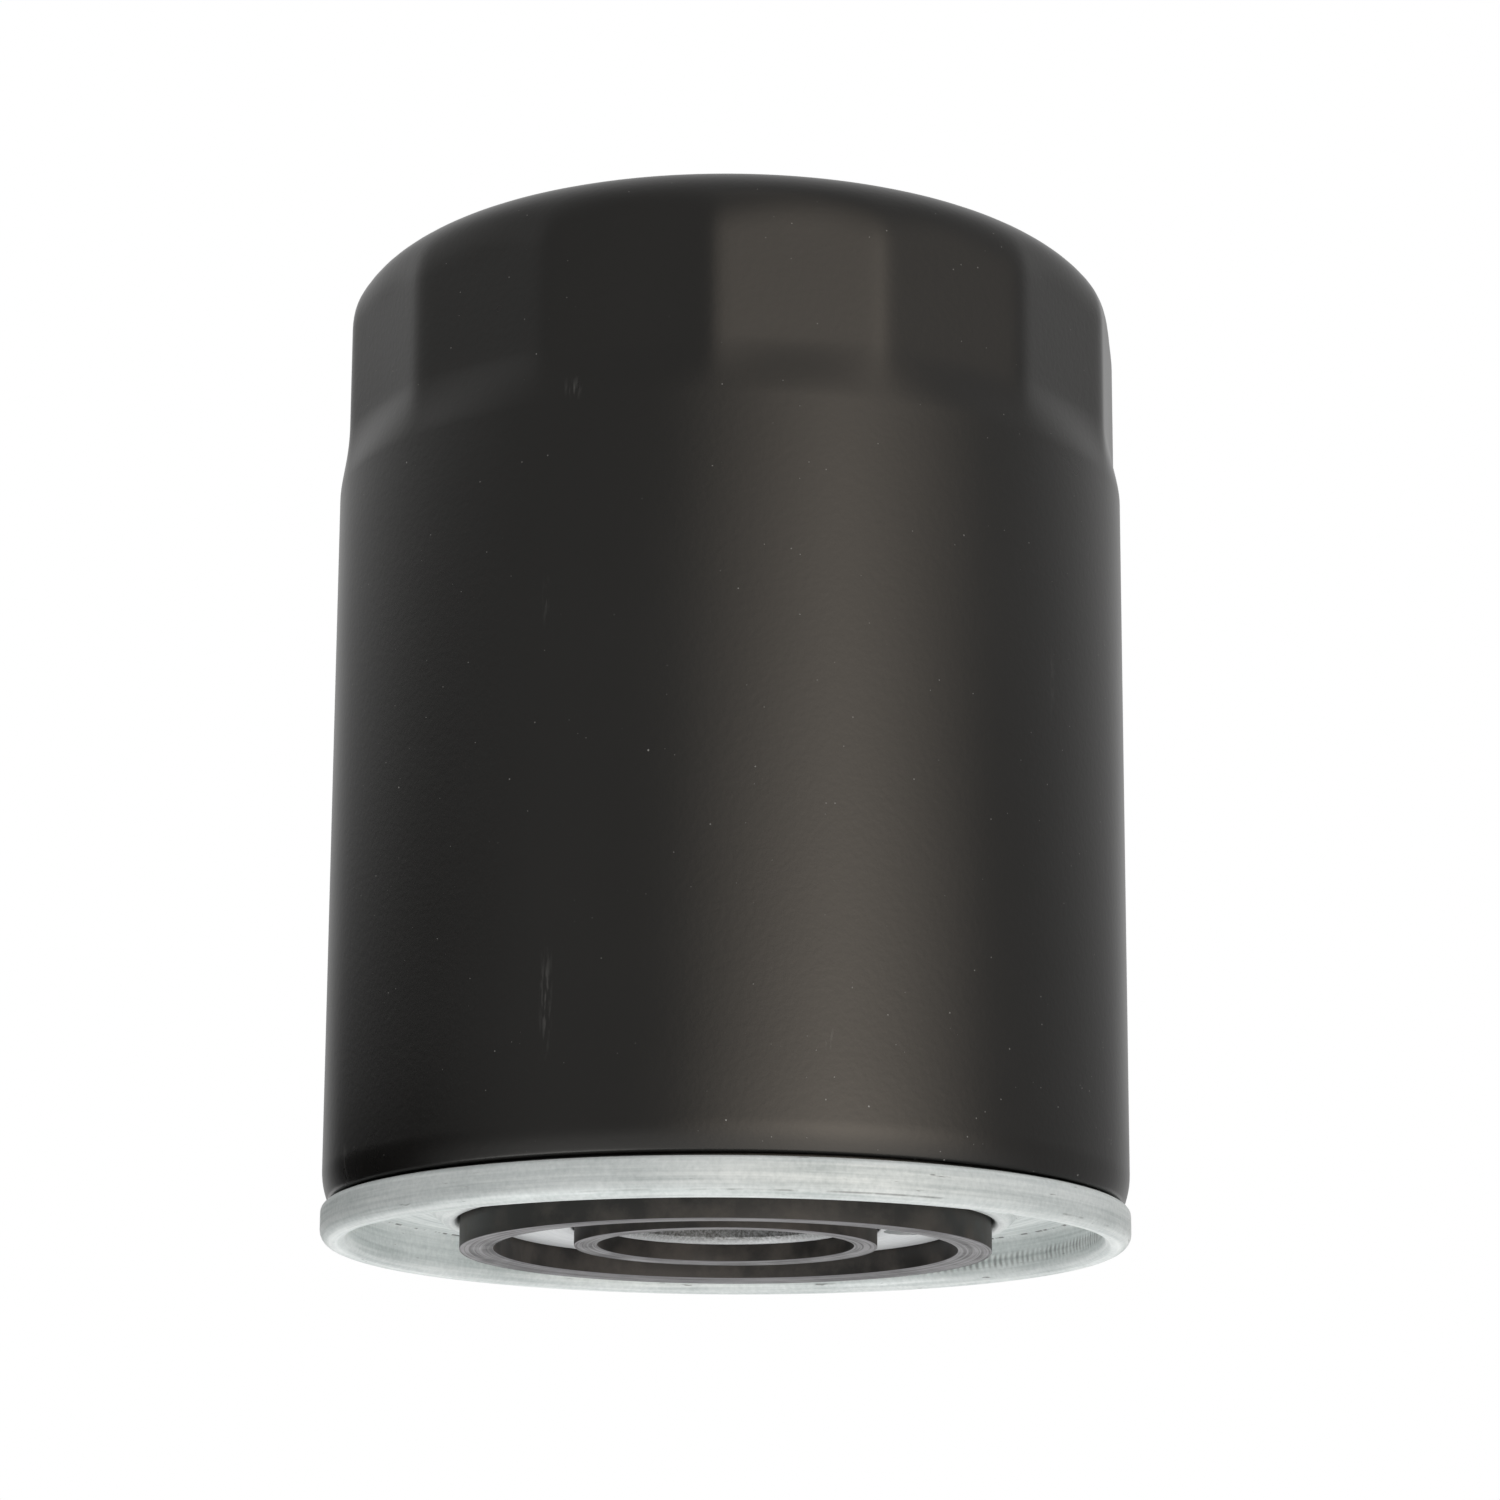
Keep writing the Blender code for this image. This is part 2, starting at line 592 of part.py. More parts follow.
def bypass_cage():
    """Pressed cup under the end cap that holds the valve's spring, with windows for the oil."""
    wall_r = CAGE_RADIUS + CAGE_WALL / 2
    top_z = CAGE_TOP - CAGE_WALL / 2
    floor_z = CAGE_LOW + CAGE_WALL / 2
    path = [(wall_r + CAGE_FLANGE, top_z), (wall_r, top_z), (wall_r, floor_z), (STEM_RADIUS + FIT, floor_z)]
    made = turned("bypass_cage", sheet(path, CAGE_WALL), TINPLATE, SMALL_STEPS)
    through = 2 * (CAGE_RADIUS + CAGE_WALL + CUT_PAST)
    for turn in (0.0, math.pi / 2):
        window = bmesh.new()
        size = Matrix.Diagonal((through, CAGE_WINDOW, CAGE_WINDOW, 1.0))
        bmesh.ops.create_cube(window, size=1.0, matrix=at(turn, 0.0, (CAGE_TOP + CAGE_LOW) / 2) @ size)
        cut(made, "window_cutter", window)


def bypass_poppet():
    """Valve disc with its guide stem, and the rubber facing on the disc."""
    turned("bypass_poppet", [
        (0.0, POPPET_TOP),
        (POPPET_RADIUS, POPPET_TOP),
        (POPPET_RADIUS, POPPET_LOW),
        (STEM_RADIUS, POPPET_LOW),
        (STEM_RADIUS, CAGE_LOW - STEM_END),
        (0.0, CAGE_LOW - STEM_END),
    ], VALVE_STEEL, SMALL_STEPS)
    ring("bypass_seal", PORT_RADIUS - SEAL_OVERLAP, POPPET_RADIUS, SEAL_LOW, SEAL_TOP, RUBBER, SMALL_STEPS)


# Springs

def spring_seat():
    """Pressed ring that centres the element spring on the upper end cap."""
    rim_r = SPRING_RADIUS + SPRING_WIRE / 2 + FIT + SPRING_SEAT_WALL / 2
    floor_z = SPRING_SEAT_LOW + SPRING_SEAT_WALL / 2
    hole_r = SEAT_RADIUS + SEAT_FLANGE + FIT
    path = [(hole_r, floor_z), (rim_r, floor_z), (rim_r, SPRING_SEAT_LOW + SPRING_SEAT_RIM)]
    turned("spring_seat", sheet(path, SPRING_SEAT_WALL), TINPLATE)


def springs():
    coil("bypass_spring", CAGE_LOW + CAGE_WALL + FIT, POPPET_LOW - FIT, VALVE_COIL_RADIUS, VALVE_WIRE, VALVE_COILS)
    coil("element_spring", SPRING_SEAT_TOP + FIT, DOME_INSIDE - FIT, SPRING_RADIUS, SPRING_WIRE, SPRING_COILS)


for old in list(bpy.data.objects):
    bpy.data.objects.remove(old, do_unlink=True)
PARTS = collection("oil_filter")
CUTTERS = collection("cutters")

can()
seam_lid()
base_plate()
gaskets()
anti_drain_valve()
end_caps()
bond_rings()
center_tube()
pleated_media()
media_clip()
bypass_seat()
bypass_cage()
bypass_poppet()
spring_seat()
springs()

for made in PARTS.objects:
    if made.type == "MESH":
        made.data.shade_smooth()
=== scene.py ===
import math
import random

import bmesh
import bpy
from mathutils import Matrix, Vector


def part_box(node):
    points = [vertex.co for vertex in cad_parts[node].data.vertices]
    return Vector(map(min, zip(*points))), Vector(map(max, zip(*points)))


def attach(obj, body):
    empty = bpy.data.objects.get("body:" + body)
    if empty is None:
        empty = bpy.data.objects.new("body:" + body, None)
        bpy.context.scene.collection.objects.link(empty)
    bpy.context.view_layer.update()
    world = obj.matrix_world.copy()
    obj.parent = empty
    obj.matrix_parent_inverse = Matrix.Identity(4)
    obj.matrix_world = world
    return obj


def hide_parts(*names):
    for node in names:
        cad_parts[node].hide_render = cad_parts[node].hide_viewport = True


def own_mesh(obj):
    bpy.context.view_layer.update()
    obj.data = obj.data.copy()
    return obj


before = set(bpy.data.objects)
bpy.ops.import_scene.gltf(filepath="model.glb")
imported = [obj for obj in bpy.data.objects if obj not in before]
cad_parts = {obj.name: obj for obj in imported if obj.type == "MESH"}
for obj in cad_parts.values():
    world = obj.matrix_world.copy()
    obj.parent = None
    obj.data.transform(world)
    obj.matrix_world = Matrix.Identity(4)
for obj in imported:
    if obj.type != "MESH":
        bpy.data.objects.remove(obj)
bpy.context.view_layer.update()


# Centre tube: a perforated tube of thin tinplate, rolled up and held between the two end caps.
# It keeps the paper from folding inwards, and the clean oil runs down inside it.

MM = 0.001                  # sizes below are in millimetres
ARC_STEP = math.radians(15)
SHARP_EDGE = math.radians(38)
RING_STEPS = 96             # points round a small ring
HOLE_SIDES = 32
TUBE_BORE = 16.9
TUBE_RADIUS = 17.4
TUBE_HOLE = 2.6
TUBE_HOLE_ROWS = 5
TUBE_HOLE_COLUMNS = 5
TUBE_HOLES_LOW = 21.95
TUBE_HOLES_TOP = 95.7
TINPLATE_COLOURS = ((0.46, 0.46, 0.45), (0.66, 0.66, 0.63))


def levels(cad_node):
    """The lowest and highest level of a CAD node, in millimetres."""
    low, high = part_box(cad_node)
    return low.z / MM, high.z / MM


def smoothed(mesh):
    """The mesh shaded smooth, with its hard edges kept sharp."""
    mesh.shade_smooth()
    mesh.set_sharp_from_angle(angle=SHARP_EDGE)
    return mesh


def new_mesh(verts, faces):
    """A smooth mesh from points in millimetres."""
    mesh = bpy.data.meshes.new("mesh")
    mesh.from_pydata([(x * MM, y * MM, z * MM) for x, y, z in verts], [], faces)
    return smoothed(mesh)


def revolve(outline, steps=RING_STEPS, shape=None):
    """A mesh turned round the Z axis from an outline of (r, z) points. shape may move each point."""
    if sum(a[0] * b[1] - b[0] * a[1] for a, b in zip(outline, outline[1:] + outline[:1])) < 0:
        outline = outline[::-1]
    verts, rows, faces = [], [], []
    for r, z in outline:
        row = []
        for step in range(steps if r > 0 else 1):
            angle = math.tau * step / steps
            radius, level = shape(angle, r, z) if shape else (r, z)
            row.append(len(verts))
            verts.append((radius * math.cos(angle), radius * math.sin(angle), level))
        rows.append(row)
    for low, high in zip(rows, rows[1:] + rows[:1]):
        for step in range(steps if len(low) + len(high) > 2 else 0):
            corners = [low[step % len(low)], low[(step + 1) % len(low)]]
            corners += [high[(step + 1) % len(high)], high[step % len(high)]]
            faces.append(list(dict.fromkeys(corners)))
    return new_mesh(verts, faces)


def rods(places, radius, length):
    """A mesh of round bars along the Z axes of the places."""
    shape = bmesh.new()
    for place in places:
        bmesh.ops.create_cone(shape, cap_ends=True, segments=HOLE_SIDES, radius1=radius * MM,
                              radius2=radius * MM, depth=length * MM, matrix=place)
    mesh = bpy.data.meshes.new("rods")
    shape.to_mesh(mesh)
    shape.free()
    return mesh


def at(angle, radius, z, lean=0.0):
    """A place round the axis. lean turns its own Z axis from upright towards the outside."""
    place = Matrix.Rotation(angle, 4, "Z") @ Matrix.Translation((radius * MM, 0.0, z * MM))
    return place @ Matrix.Rotation(lean, 4, "Y")


def put(name, data):
    """A new object in the scene."""
    made = bpy.data.objects.new(name, data)
    bpy.context.scene.collection.objects.link(made)
    return made


def carved(mesh, cutter):
    """The mesh with the cutter's shape taken out of it."""
    blank = put("blank", mesh)
    tool = put("tool", cutter)
    cut = blank.modifiers.new("cut", "BOOLEAN")
    cut.operation = "DIFFERENCE"
    cut.object = tool
    graph = bpy.context.evaluated_depsgraph_get()
    made = bpy.data.meshes.new_from_object(blank.evaluated_get(graph))
    for used in (blank, tool):
        bpy.data.objects.remove(used)
    return smoothed(made)


def join(owner, feed, socket):
    """Feeds an input: with a link from another node's output, or with a plain value."""
    if isinstance(feed, bpy.types.NodeSocket):
        owner.node_tree.links.new(feed, socket)
    else:
        socket.default_value = feed


def node(owner, kind, feeds, **settings):
    """A new node in a material or world. feeds maps an input's name or number to a value or an output."""
    made = owner.node_tree.nodes.new("ShaderNode" + kind)
    for setting, value in settings.items():
        setattr(made, setting, value)
    for socket, feed in feeds.items():
        join(owner, feed, made.inputs[socket])
    return made


def coat(finish, feeds):
    """Feeds the shader of a material."""
    shader = finish.node_tree.nodes["Principled BSDF"]
    for socket, feed in feeds.items():
        join(finish, feed, shader.inputs[socket])
    return finish


def new_finish(name, values):
    """A material whose shader has these plain values."""
    finish = bpy.data.materials.new(name)
    finish.use_nodes = True
    return coat(finish, values)


def sums(owner, operation, *feeds):
    """The result of a sum on values."""
    return node(owner, "Math", dict(enumerate(feeds)), operation=operation).outputs[0]


def times(owner, value, *others):
    """The product of some values."""
    for other in others:
        value = sums(owner, "MULTIPLY", value, other)
    return value


def blend(owner, *parts):
    """Values added up, each times its weight."""
    total = 0.0
    for value, weight in parts:
        total = sums(owner, "MULTIPLY_ADD", value, weight, total)
    return total


def apart(owner, value, other):
    """How far two values are apart."""
    return sums(owner, "ABSOLUTE", sums(owner, "SUBTRACT", value, other))


def spread(owner, value, low, high, to_low=0.0, to_high=1.0):
    """The value moved from one range to another, and kept inside it."""
    feeds = {"Value": value, "From Min": low, "From Max": high, "To Min": to_low, "To Max": to_high}
    return node(owner, "MapRange", feeds).outputs["Result"]


def mixed(owner, share, first, second):
    """Two colours mixed: all of the first at share 0, and all of the second at 1."""
    made = node(owner, "Mix", {0: share}, data_type="RGBA")
    for socket, feed in ((6, first), (7, second)):
        join(owner, (*feed, 1.0) if isinstance(feed, tuple) else feed, made.inputs[socket])
    return made.outputs[2]


def object_place(owner):
    """The place of a point on the piece, in metres."""
    return node(owner, "TexCoord", {}).outputs["Object"]


def grain(owner, scale, detail=3.0, rough=0.55, vector=None):
    """Even noise over the piece, at a scale in waves per metre."""
    vector = vector or object_place(owner)
    feeds = {"Vector": vector, "Scale": scale, "Detail": detail, "Roughness": rough}
    return node(owner, "TexNoise", feeds).outputs["Fac"]


def round_place(owner):
    """The angle from the front, the distance from the axis and the height of a point on the surface."""
    x, y, z = node(owner, "SeparateXYZ", {0: object_place(owner)}).outputs
    flat = node(owner, "CombineXYZ", {"X": x, "Y": y}).outputs[0]
    radius = node(owner, "VectorMath", {0: flat}, operation="LENGTH").outputs["Value"]
    return sums(owner, "ARCTAN2", x, times(owner, y, -1.0)), radius, z


def turned_marks(owner, around, across, detail=4.0):
    """Noise drawn out round the axis: few waves around, and many per metre of radius or height."""
    angle, radius, height = round_place(owner)
    vector = node(owner, "CombineXYZ", {
        "X": times(owner, sums(owner, "COSINE", angle), around),
        "Y": times(owner, sums(owner, "SINE", angle), around),
        "Z": times(owner, height, across),
    }).outputs[0]
    feeds = {"Vector": vector, "W": times(owner, radius, across), "Scale": 1.0, "Detail": detail}
    return node(owner, "TexNoise", feeds, noise_dimensions="4D").outputs["Fac"]


def bumped(owner, height, depth, strength, below=None):
    """A surface raised by height, from 0 to 1, times a depth in millimetres, on top of other bumps."""
    feeds = {"Height": height, "Distance": depth * MM, "Strength": strength}
    if below:
        feeds["Normal"] = below
    return node(owner, "Bump", feeds).outputs["Normal"]


def bright_steel(name, dark, light, dull, bright, around=3.0, across=2600.0):
    """Rolled or turned steel, with fine marks round the axis and a few cloudy stains."""
    steel = new_finish(name, {"Metallic": 1.0})
    marks = turned_marks(steel, around, across)
    shade = blend(steel, (marks, 0.6), (grain(steel, 70.0), 0.4))
    return coat(steel, {
        "Base Color": mixed(steel, spread(steel, shade, 0.38, 0.62), dark, light),
        "Roughness": spread(steel, marks, 0.35, 0.65, dull, bright),
        "Normal": bumped(steel, marks, 0.02, 0.5),
    })


def piece(name, mesh, finish, body, cad_node):
    """A piece of the filter. It moves with a body, stands for a CAD node and has its finish's slot."""
    mesh.name = name
    mesh.materials.clear()
    mesh.materials.append(finish)
    made = put(name, mesh)
    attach(made, body)
    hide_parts(cad_node)
    return made


tinplate = bright_steel("tinplate", *TINPLATE_COLOURS, 0.40, 0.24)
tube_low, tube_top = levels("center_tube")
hole_places = []
for row in range(TUBE_HOLE_ROWS):
    row_z = TUBE_HOLES_LOW + (row + 0.5) * (TUBE_HOLES_TOP - TUBE_HOLES_LOW) / TUBE_HOLE_ROWS
    for column in range(TUBE_HOLE_COLUMNS):
        hole_angle = math.tau * (column + row % 2 / 2) / TUBE_HOLE_COLUMNS
        hole_places.append(at(hole_angle, TUBE_RADIUS, row_z, math.pi / 2))
tube_mesh = revolve([
    (TUBE_BORE, tube_low),
    (TUBE_RADIUS, tube_low),
    (TUBE_RADIUS, tube_top),
    (TUBE_BORE, tube_top),
])
tube_wall = TUBE_RADIUS - TUBE_BORE
tube_mesh = carved(tube_mesh, rods(hole_places, TUBE_HOLE, 6 * tube_wall))
piece("perforated_tube", tube_mesh, tinplate, "element", "center_tube")


# Pleated paper: resin-treated filter paper, scored, folded into forty pleats and closed into a ring.
# Its ends are sunk in plastisol in the two end caps.

PLEATS = 40
PAPER = 0.65
PLEATS_IN = 18.5
PLEATS_OUT = 43.95
CREST_FILLET = 1.7          # on the outer face of the paper
VALLEY_FILLET = 0.25
PLEAT_ARC = math.radians(24)
PLEAT_LEAN = 0.006          # radians that a pleat leans out of true, at most
QUARTER_PLEAT = math.pi / PLEATS / 2
SAME_POINT = 0.001
FIBRE_STRETCH = (1.0, 1.0, 0.25)
PAPER_COLOURS = ((0.56, 0.37, 0.15), (0.78, 0.60, 0.31))


def unit(start, end):
    """The direction from one flat point to another."""
    length = math.hypot(end[0] - start[0], end[1] - start[1])
    return (end[0] - start[0]) / length, (end[1] - start[1]) / length


def rounded(corners, arc_step=ARC_STEP):
    """A path of flat points. A corner (x, y, fillet) becomes an arc of that radius."""
    path = []
    for i, (x, y, *fillet) in enumerate(corners):
        if not fillet:
            path.append((x, y))
            continue
        back = unit(corners[i - 1], (x, y))
        ahead = unit((x, y), corners[(i + 1) % len(corners)])
        aside = back[0] * ahead[1] - back[1] * ahead[0]
        turn = math.atan2(aside, back[0] * ahead[0] + back[1] * ahead[1])
        reach = fillet[0] * math.tan(abs(turn) / 2)
        side = math.copysign(fillet[0], turn)
        start = (x - back[0] * reach, y - back[1] * reach)
        centre = (start[0] - back[1] * side, start[1] + back[0] * side)
        arm = (start[0] - centre[0], start[1] - centre[1])
        steps = max(2, math.ceil(abs(turn) / arc_step))
        for step in range(steps + 1):
            cos, sin = math.cos(turn * step / steps), math.sin(turn * step / steps)
            point = (centre[0] + arm[0] * cos - arm[1] * sin, centre[1] + arm[0] * sin + arm[1] * cos)
            if not path or math.dist(path[-1], point) > SAME_POINT:
                path.append(point)
    return path


def pleat_face(side):
    """One face of the paper as a closed flat path: side 1 is the outer face and -1 the inner one."""
    lean = random.Random(4)
    low = PLEATS_IN + (PAPER if side > 0 else 0.0)
    high = PLEATS_OUT - (0.0 if side > 0 else PAPER)
    crest = CREST_FILLET - (0.0 if side > 0 else PAPER)
    valley = VALLEY_FILLET + (0.0 if side > 0 else PAPER)
    folds = ((low, -1, valley), (high, -1, crest), (high, 1, crest), (low, 1, valley))
    corners = []
    for pleat in range(PLEATS):
        tip = lean.uniform(-PLEAT_LEAN, PLEAT_LEAN) if pleat else 0.0
        middle = math.tau * pleat / PLEATS
        for radius, sign, fillet in folds:
            angle = middle + sign * (QUARTER_PLEAT + side * PAPER / 2 / radius)
            angle += tip if radius == high else 0.0
            corners.append((radius * math.cos(angle), radius * math.sin(angle), fillet))
    return rounded(corners, PLEAT_ARC)


def folded(outer, inner, low, high):
    """An upright band between two flat closed paths with as many points."""
    count = len(outer)
    rims = ((outer, low), (outer, high), (inner, high), (inner, low))
    verts = [(x, y, z) for path, z in rims for x, y in path]
    faces = []
    for band in range(4):
        for i in range(count):
            j = (i + 1) % count
            upper = (band + 1) % 4 * count
            faces.append((band * count + i, band * count + j, upper + j, upper + i))
    return new_mesh(verts, faces)


def filter_paper():
    """Ochre cellulose: long fibres, a fine tooth, and resin that soaked in unevenly."""
    paper = new_finish("filter_paper", {"Specular IOR Level": 0.25})
    along = node(paper, "VectorMath", {0: object_place(paper), 1: FIBRE_STRETCH}, operation="MULTIPLY")
    fibres = grain(paper, 2600.0, 4.0, 0.7, along.outputs[0])
    resin = grain(paper, 90.0, 4.0)
    share = spread(paper, blend(paper, (fibres, 0.5), (resin, 0.5)), 0.36, 0.64)
    return coat(paper, {
        "Base Color": mixed(paper, share, *PAPER_COLOURS),
        "Roughness": spread(paper, resin, 0.3, 0.7, 0.72, 0.92),
        "Normal": bumped(paper, fibres, 0.06, 0.6),
    })


paper_low, paper_top = levels("pleated_media")
paper_mesh = folded(pleat_face(1), pleat_face(-1), paper_low, paper_top)
piece("pleated_paper", paper_mesh, filter_paper(), "element", "pleated_media")


# Clip of the paper: a strip of tinplate folded over the pleat where the two ends of the paper meet.
# It is squeezed shut over its whole length.

CLIP_WALL = 0.4
CLIP_GAP = 0.3
CLIP_DEPTH = 5.0
CLIP_FILLET = 0.9


def sheet(path, wall):
    """The outline of a sheet whose middle follows the path."""
    left, right = [], []
    for i, (x, y) in enumerate(path):
        back = unit(path[i - 1], path[i]) if i else unit(path[0], path[1])
        ahead = unit(path[i], path[i + 1]) if i + 1 < len(path) else back
        reach = wall / 2 / (1 + back[0] * ahead[0] + back[1] * ahead[1])
        across = (-(back[1] + ahead[1]) * reach, (back[0] + ahead[0]) * reach)
        left.append((x + across[0], y + across[1]))
        right.append((x - across[0], y - across[1]))
    return left + right[::-1]


def upright(outline, low, high):
    """A flat outline raised from one level to another. The outline runs anticlockwise."""
    count = len(outline)
    verts = [(x, y, z) for z in (low, high) for x, y in outline]
    faces = [(i, (i + 1) % count, (i + 1) % count + count, i + count) for i in range(count)]
    faces += [tuple(range(count))[::-1], tuple(range(count, 2 * count))]
    return new_mesh(verts, faces)


clip_half = QUARTER_PLEAT * PLEATS_OUT + PAPER / 2 + CLIP_GAP + CLIP_WALL / 2
clip_crest = PLEATS_OUT + CLIP_GAP + CLIP_WALL / 2
clip_foot = PLEATS_OUT + CLIP_GAP - CLIP_DEPTH
clip_path = rounded([
    (clip_foot, clip_half),
    (clip_crest, clip_half, CLIP_FILLET),
    (clip_crest, -clip_half, CLIP_FILLET),
    (clip_foot, -clip_half),
])
clip_mesh = upright(sheet(clip_path, CLIP_WALL), paper_low, paper_top)
piece("paper_clip", clip_mesh, tinplate, "element", "media_clip")


# End caps: two pressed tinplate dishes that close the ends of the paper.
# The lower one has a hub that the centre tube slips over, and the upper one a hole for the bypass valve.

WIDE_RING_STEPS = 144
CAP_WALL = 0.5
CAP_RADIUS = 45.55
CAP_RIM = 5.0
CAP_FILLET = 0.8
HUB_RADIUS = 16.6
SEAT_HOLE = 10.3

cap_rim_r = CAP_RADIUS - CAP_WALL / 2
hub_r = HUB_RADIUS - CAP_WALL / 2
lower_floor = levels("lower_end_cap")[0] + CAP_WALL / 2
upper_floor = levels("upper_end_cap")[1] - CAP_WALL / 2
lower_cap_path = rounded([
    (hub_r, lower_floor + CAP_RIM),
    (hub_r, lower_floor, CAP_FILLET),
    (cap_rim_r, lower_floor, CAP_FILLET),
    (cap_rim_r, lower_floor + CAP_RIM),
])
upper_cap_path = rounded([
    (SEAT_HOLE, upper_floor),
    (cap_rim_r, upper_floor, CAP_FILLET),
    (cap_rim_r, upper_floor - CAP_RIM),
])
lower_cap_mesh = revolve(sheet(lower_cap_path, CAP_WALL), WIDE_RING_STEPS)
upper_cap_mesh = revolve(sheet(upper_cap_path, CAP_WALL), WIDE_RING_STEPS)
piece("lower_cap", lower_cap_mesh, tinplate, "element", "lower_end_cap")
piece("upper_cap", upper_cap_mesh, tinplate, "element", "upper_end_cap")


# Bond rings: plastisol that was poured into the end caps and baked hard round the ends of the paper.
# It sets with a slightly wavy skin.

BOND_HOLE = 17.7
BOND_RADIUS = 44.75
BOND_FILLET = 0.5
BOND_ROWS = 12
BOND_RIPPLE = 0.12
PLASTISOL_COLOURS = ((0.30, 0.065, 0.04), (0.46, 0.115, 0.07))


def plastisol():
    """Brick-red vinyl with a dull skin, fine pits and darker swirls."""
    vinyl = new_finish("plastisol", {"Specular IOR Level": 0.4})
    swirls = grain(vinyl, 180.0, 5.0)
    pits = grain(vinyl, 1500.0, 2.0)
    return coat(vinyl, {
        "Base Color": mixed(vinyl, spread(vinyl, swirls, 0.35, 0.65), *PLASTISOL_COLOURS),
        "Roughness": spread(vinyl, pits, 0.3, 0.7, 0.42, 0.62),
        "Normal": bumped(vinyl, pits, 0.05, 0.5),
    })


def bond(name, cad_node, base_z, skin_z):
    """A ring of plastisol, from the level where it lies in the cap to that of its free skin."""
    sink = math.copysign(BOND_RIPPLE, base_z - skin_z)

    def wavy(angle, r, z):
        """Lets the free skin sink and swell a little."""
        if abs(z - skin_z) > BOND_FILLET:
            return r, z
        swell = math.sin(9 * angle + 0.3 * r) + math.sin(23 * angle - 0.5 * r)
        return r, z + sink * (2 + swell) / 4

    row = (BOND_HOLE - BOND_RADIUS) / BOND_ROWS
    outline = rounded([
        (BOND_HOLE, base_z, BOND_FILLET),
        (BOND_RADIUS, base_z, BOND_FILLET),
        (BOND_RADIUS, skin_z, BOND_FILLET),
        *((BOND_RADIUS + row * i, skin_z) for i in range(1, BOND_ROWS)),
        (BOND_HOLE, skin_z, BOND_FILLET),
    ])
    piece(name, revolve(outline, WIDE_RING_STEPS, wavy), bond_finish, "element", cad_node)


bond_finish = plastisol()
bond("lower_bond", "lower_bond_ring", *levels("lower_bond_ring"))
bond("upper_bond", "upper_bond_ring", *levels("upper_bond_ring")[::-1])


# Bypass seat: a turned steel ring, pressed and flared into the hole of the upper end cap.
# The valve closes on its lower face.

PORT_RADIUS = 7.0
SEAT_RADIUS = 10.0
SEAT_FLANGE_RADIUS = 12.4
SEAT_FLANGE_WALL = 0.9
EDGE = 0.25                 # broken edges of turned and stamped pieces
STEEL_COLOURS = ((0.42, 0.42, 0.41), (0.58, 0.58, 0.57))

valve_steel = bright_steel("valve_steel", *STEEL_COLOURS, 0.36, 0.22, 2.0, 4200.0)
seat_low, seat_top = levels("bypass_seat")
seat_mesh = revolve(rounded([
    (PORT_RADIUS, seat_low, EDGE),
    (SEAT_RADIUS, seat_low, EDGE),
    (SEAT_RADIUS, seat_top - SEAT_FLANGE_WALL, EDGE),
    (SEAT_FLANGE_RADIUS, seat_top - SEAT_FLANGE_WALL, EDGE),
    (SEAT_FLANGE_RADIUS, seat_top, EDGE),
    (PORT_RADIUS, seat_top, EDGE),
]))
piece("valve_seat", seat_mesh, valve_steel, "element", "bypass_seat")


# Bypass cage: a pressed tinplate cup with four windows, flanged and spot-welded under the upper end cap.
# The valve's spring stands on its floor, and the stem slides in the floor's hole.

CAGE_WALL = 0.6
CAGE_RADIUS = 12.1
CAGE_FLANGE = 3.2
CAGE_FILLET = 0.9
WINDOW = 9.0
WINDOW_FILLET = 1.2
WINDOW_ARC = 4              # steps round a corner of a window
STEM_HOLE = 2.1

cage_low, cage_top = levels("bypass_cage")
cage_wall_r = CAGE_RADIUS + CAGE_WALL / 2
cage_path = rounded([
    (cage_wall_r + CAGE_FLANGE, cage_top - CAGE_WALL / 2),
    (cage_wall_r, cage_top - CAGE_WALL / 2, CAGE_FILLET),
    (cage_wall_r, cage_low + CAGE_WALL / 2, CAGE_FILLET),
    (STEM_HOLE, cage_low + CAGE_WALL / 2),
])
cage_mesh = revolve(sheet(cage_path, CAGE_WALL))
punch_length = 4 * CAGE_RADIUS * MM
for window_turn in (0.0, math.pi / 2):
    punch = bmesh.new()
    punch_place = at(window_turn, 0.0, (cage_low + cage_top) / 2)
    punch_size = Matrix.Diagonal((punch_length, WINDOW * MM, WINDOW * MM, 1.0))
    bmesh.ops.create_cube(punch, size=1.0, matrix=punch_place @ punch_size)
    long_edges = [edge_highlight for edge_highlight in punch.edges if abs(edge_highlight.calc_length() - punch_length) < MM]
    bmesh.ops.bevel(punch, geom=long_edges, offset=WINDOW_FILLET * MM, segments=WINDOW_ARC,
                    affect="EDGES", profile=0.5)
    punch_mesh = bpy.data.meshes.new("punch")
    punch.to_mesh(punch_mesh)
    punch.free()
    cage_mesh = carved(cage_mesh, punch_mesh)
piece("valve_cage", cage_mesh, tinplate, "element", "bypass_cage")


# Bypass poppet: a turned steel disc with its guide stem, which the spring holds against the seat.
# A moulded rubber facing lies on the disc and seals it.

POPPET_RADIUS = 9.7
POPPET_WALL = 1.2
STEM_RADIUS = 1.8
SEAL_HOLE = 5.8
SEAL_COLOURS = ((0.024, 0.023, 0.022), (0.045, 0.043, 0.042))


def moulded_rubber():
    """Black nitrile: soft mottling, a bloom of dust and a very fine tooth."""
    rubber = new_finish("valve_rubber", {"Specular IOR Level": 0.5})
    mottle = grain(rubber, 160.0, 5.0, 0.6)
    return coat(rubber, {
        "Base Color": mixed(rubber, spread(rubber, mottle, 0.42, 0.70), *SEAL_COLOURS),
        "Roughness": spread(rubber, mottle, 0.3, 0.7, 0.52, 0.66),
        "Normal": bumped(rubber, grain(rubber, 5200.0, 2.0), 0.03, 0.4),
    })


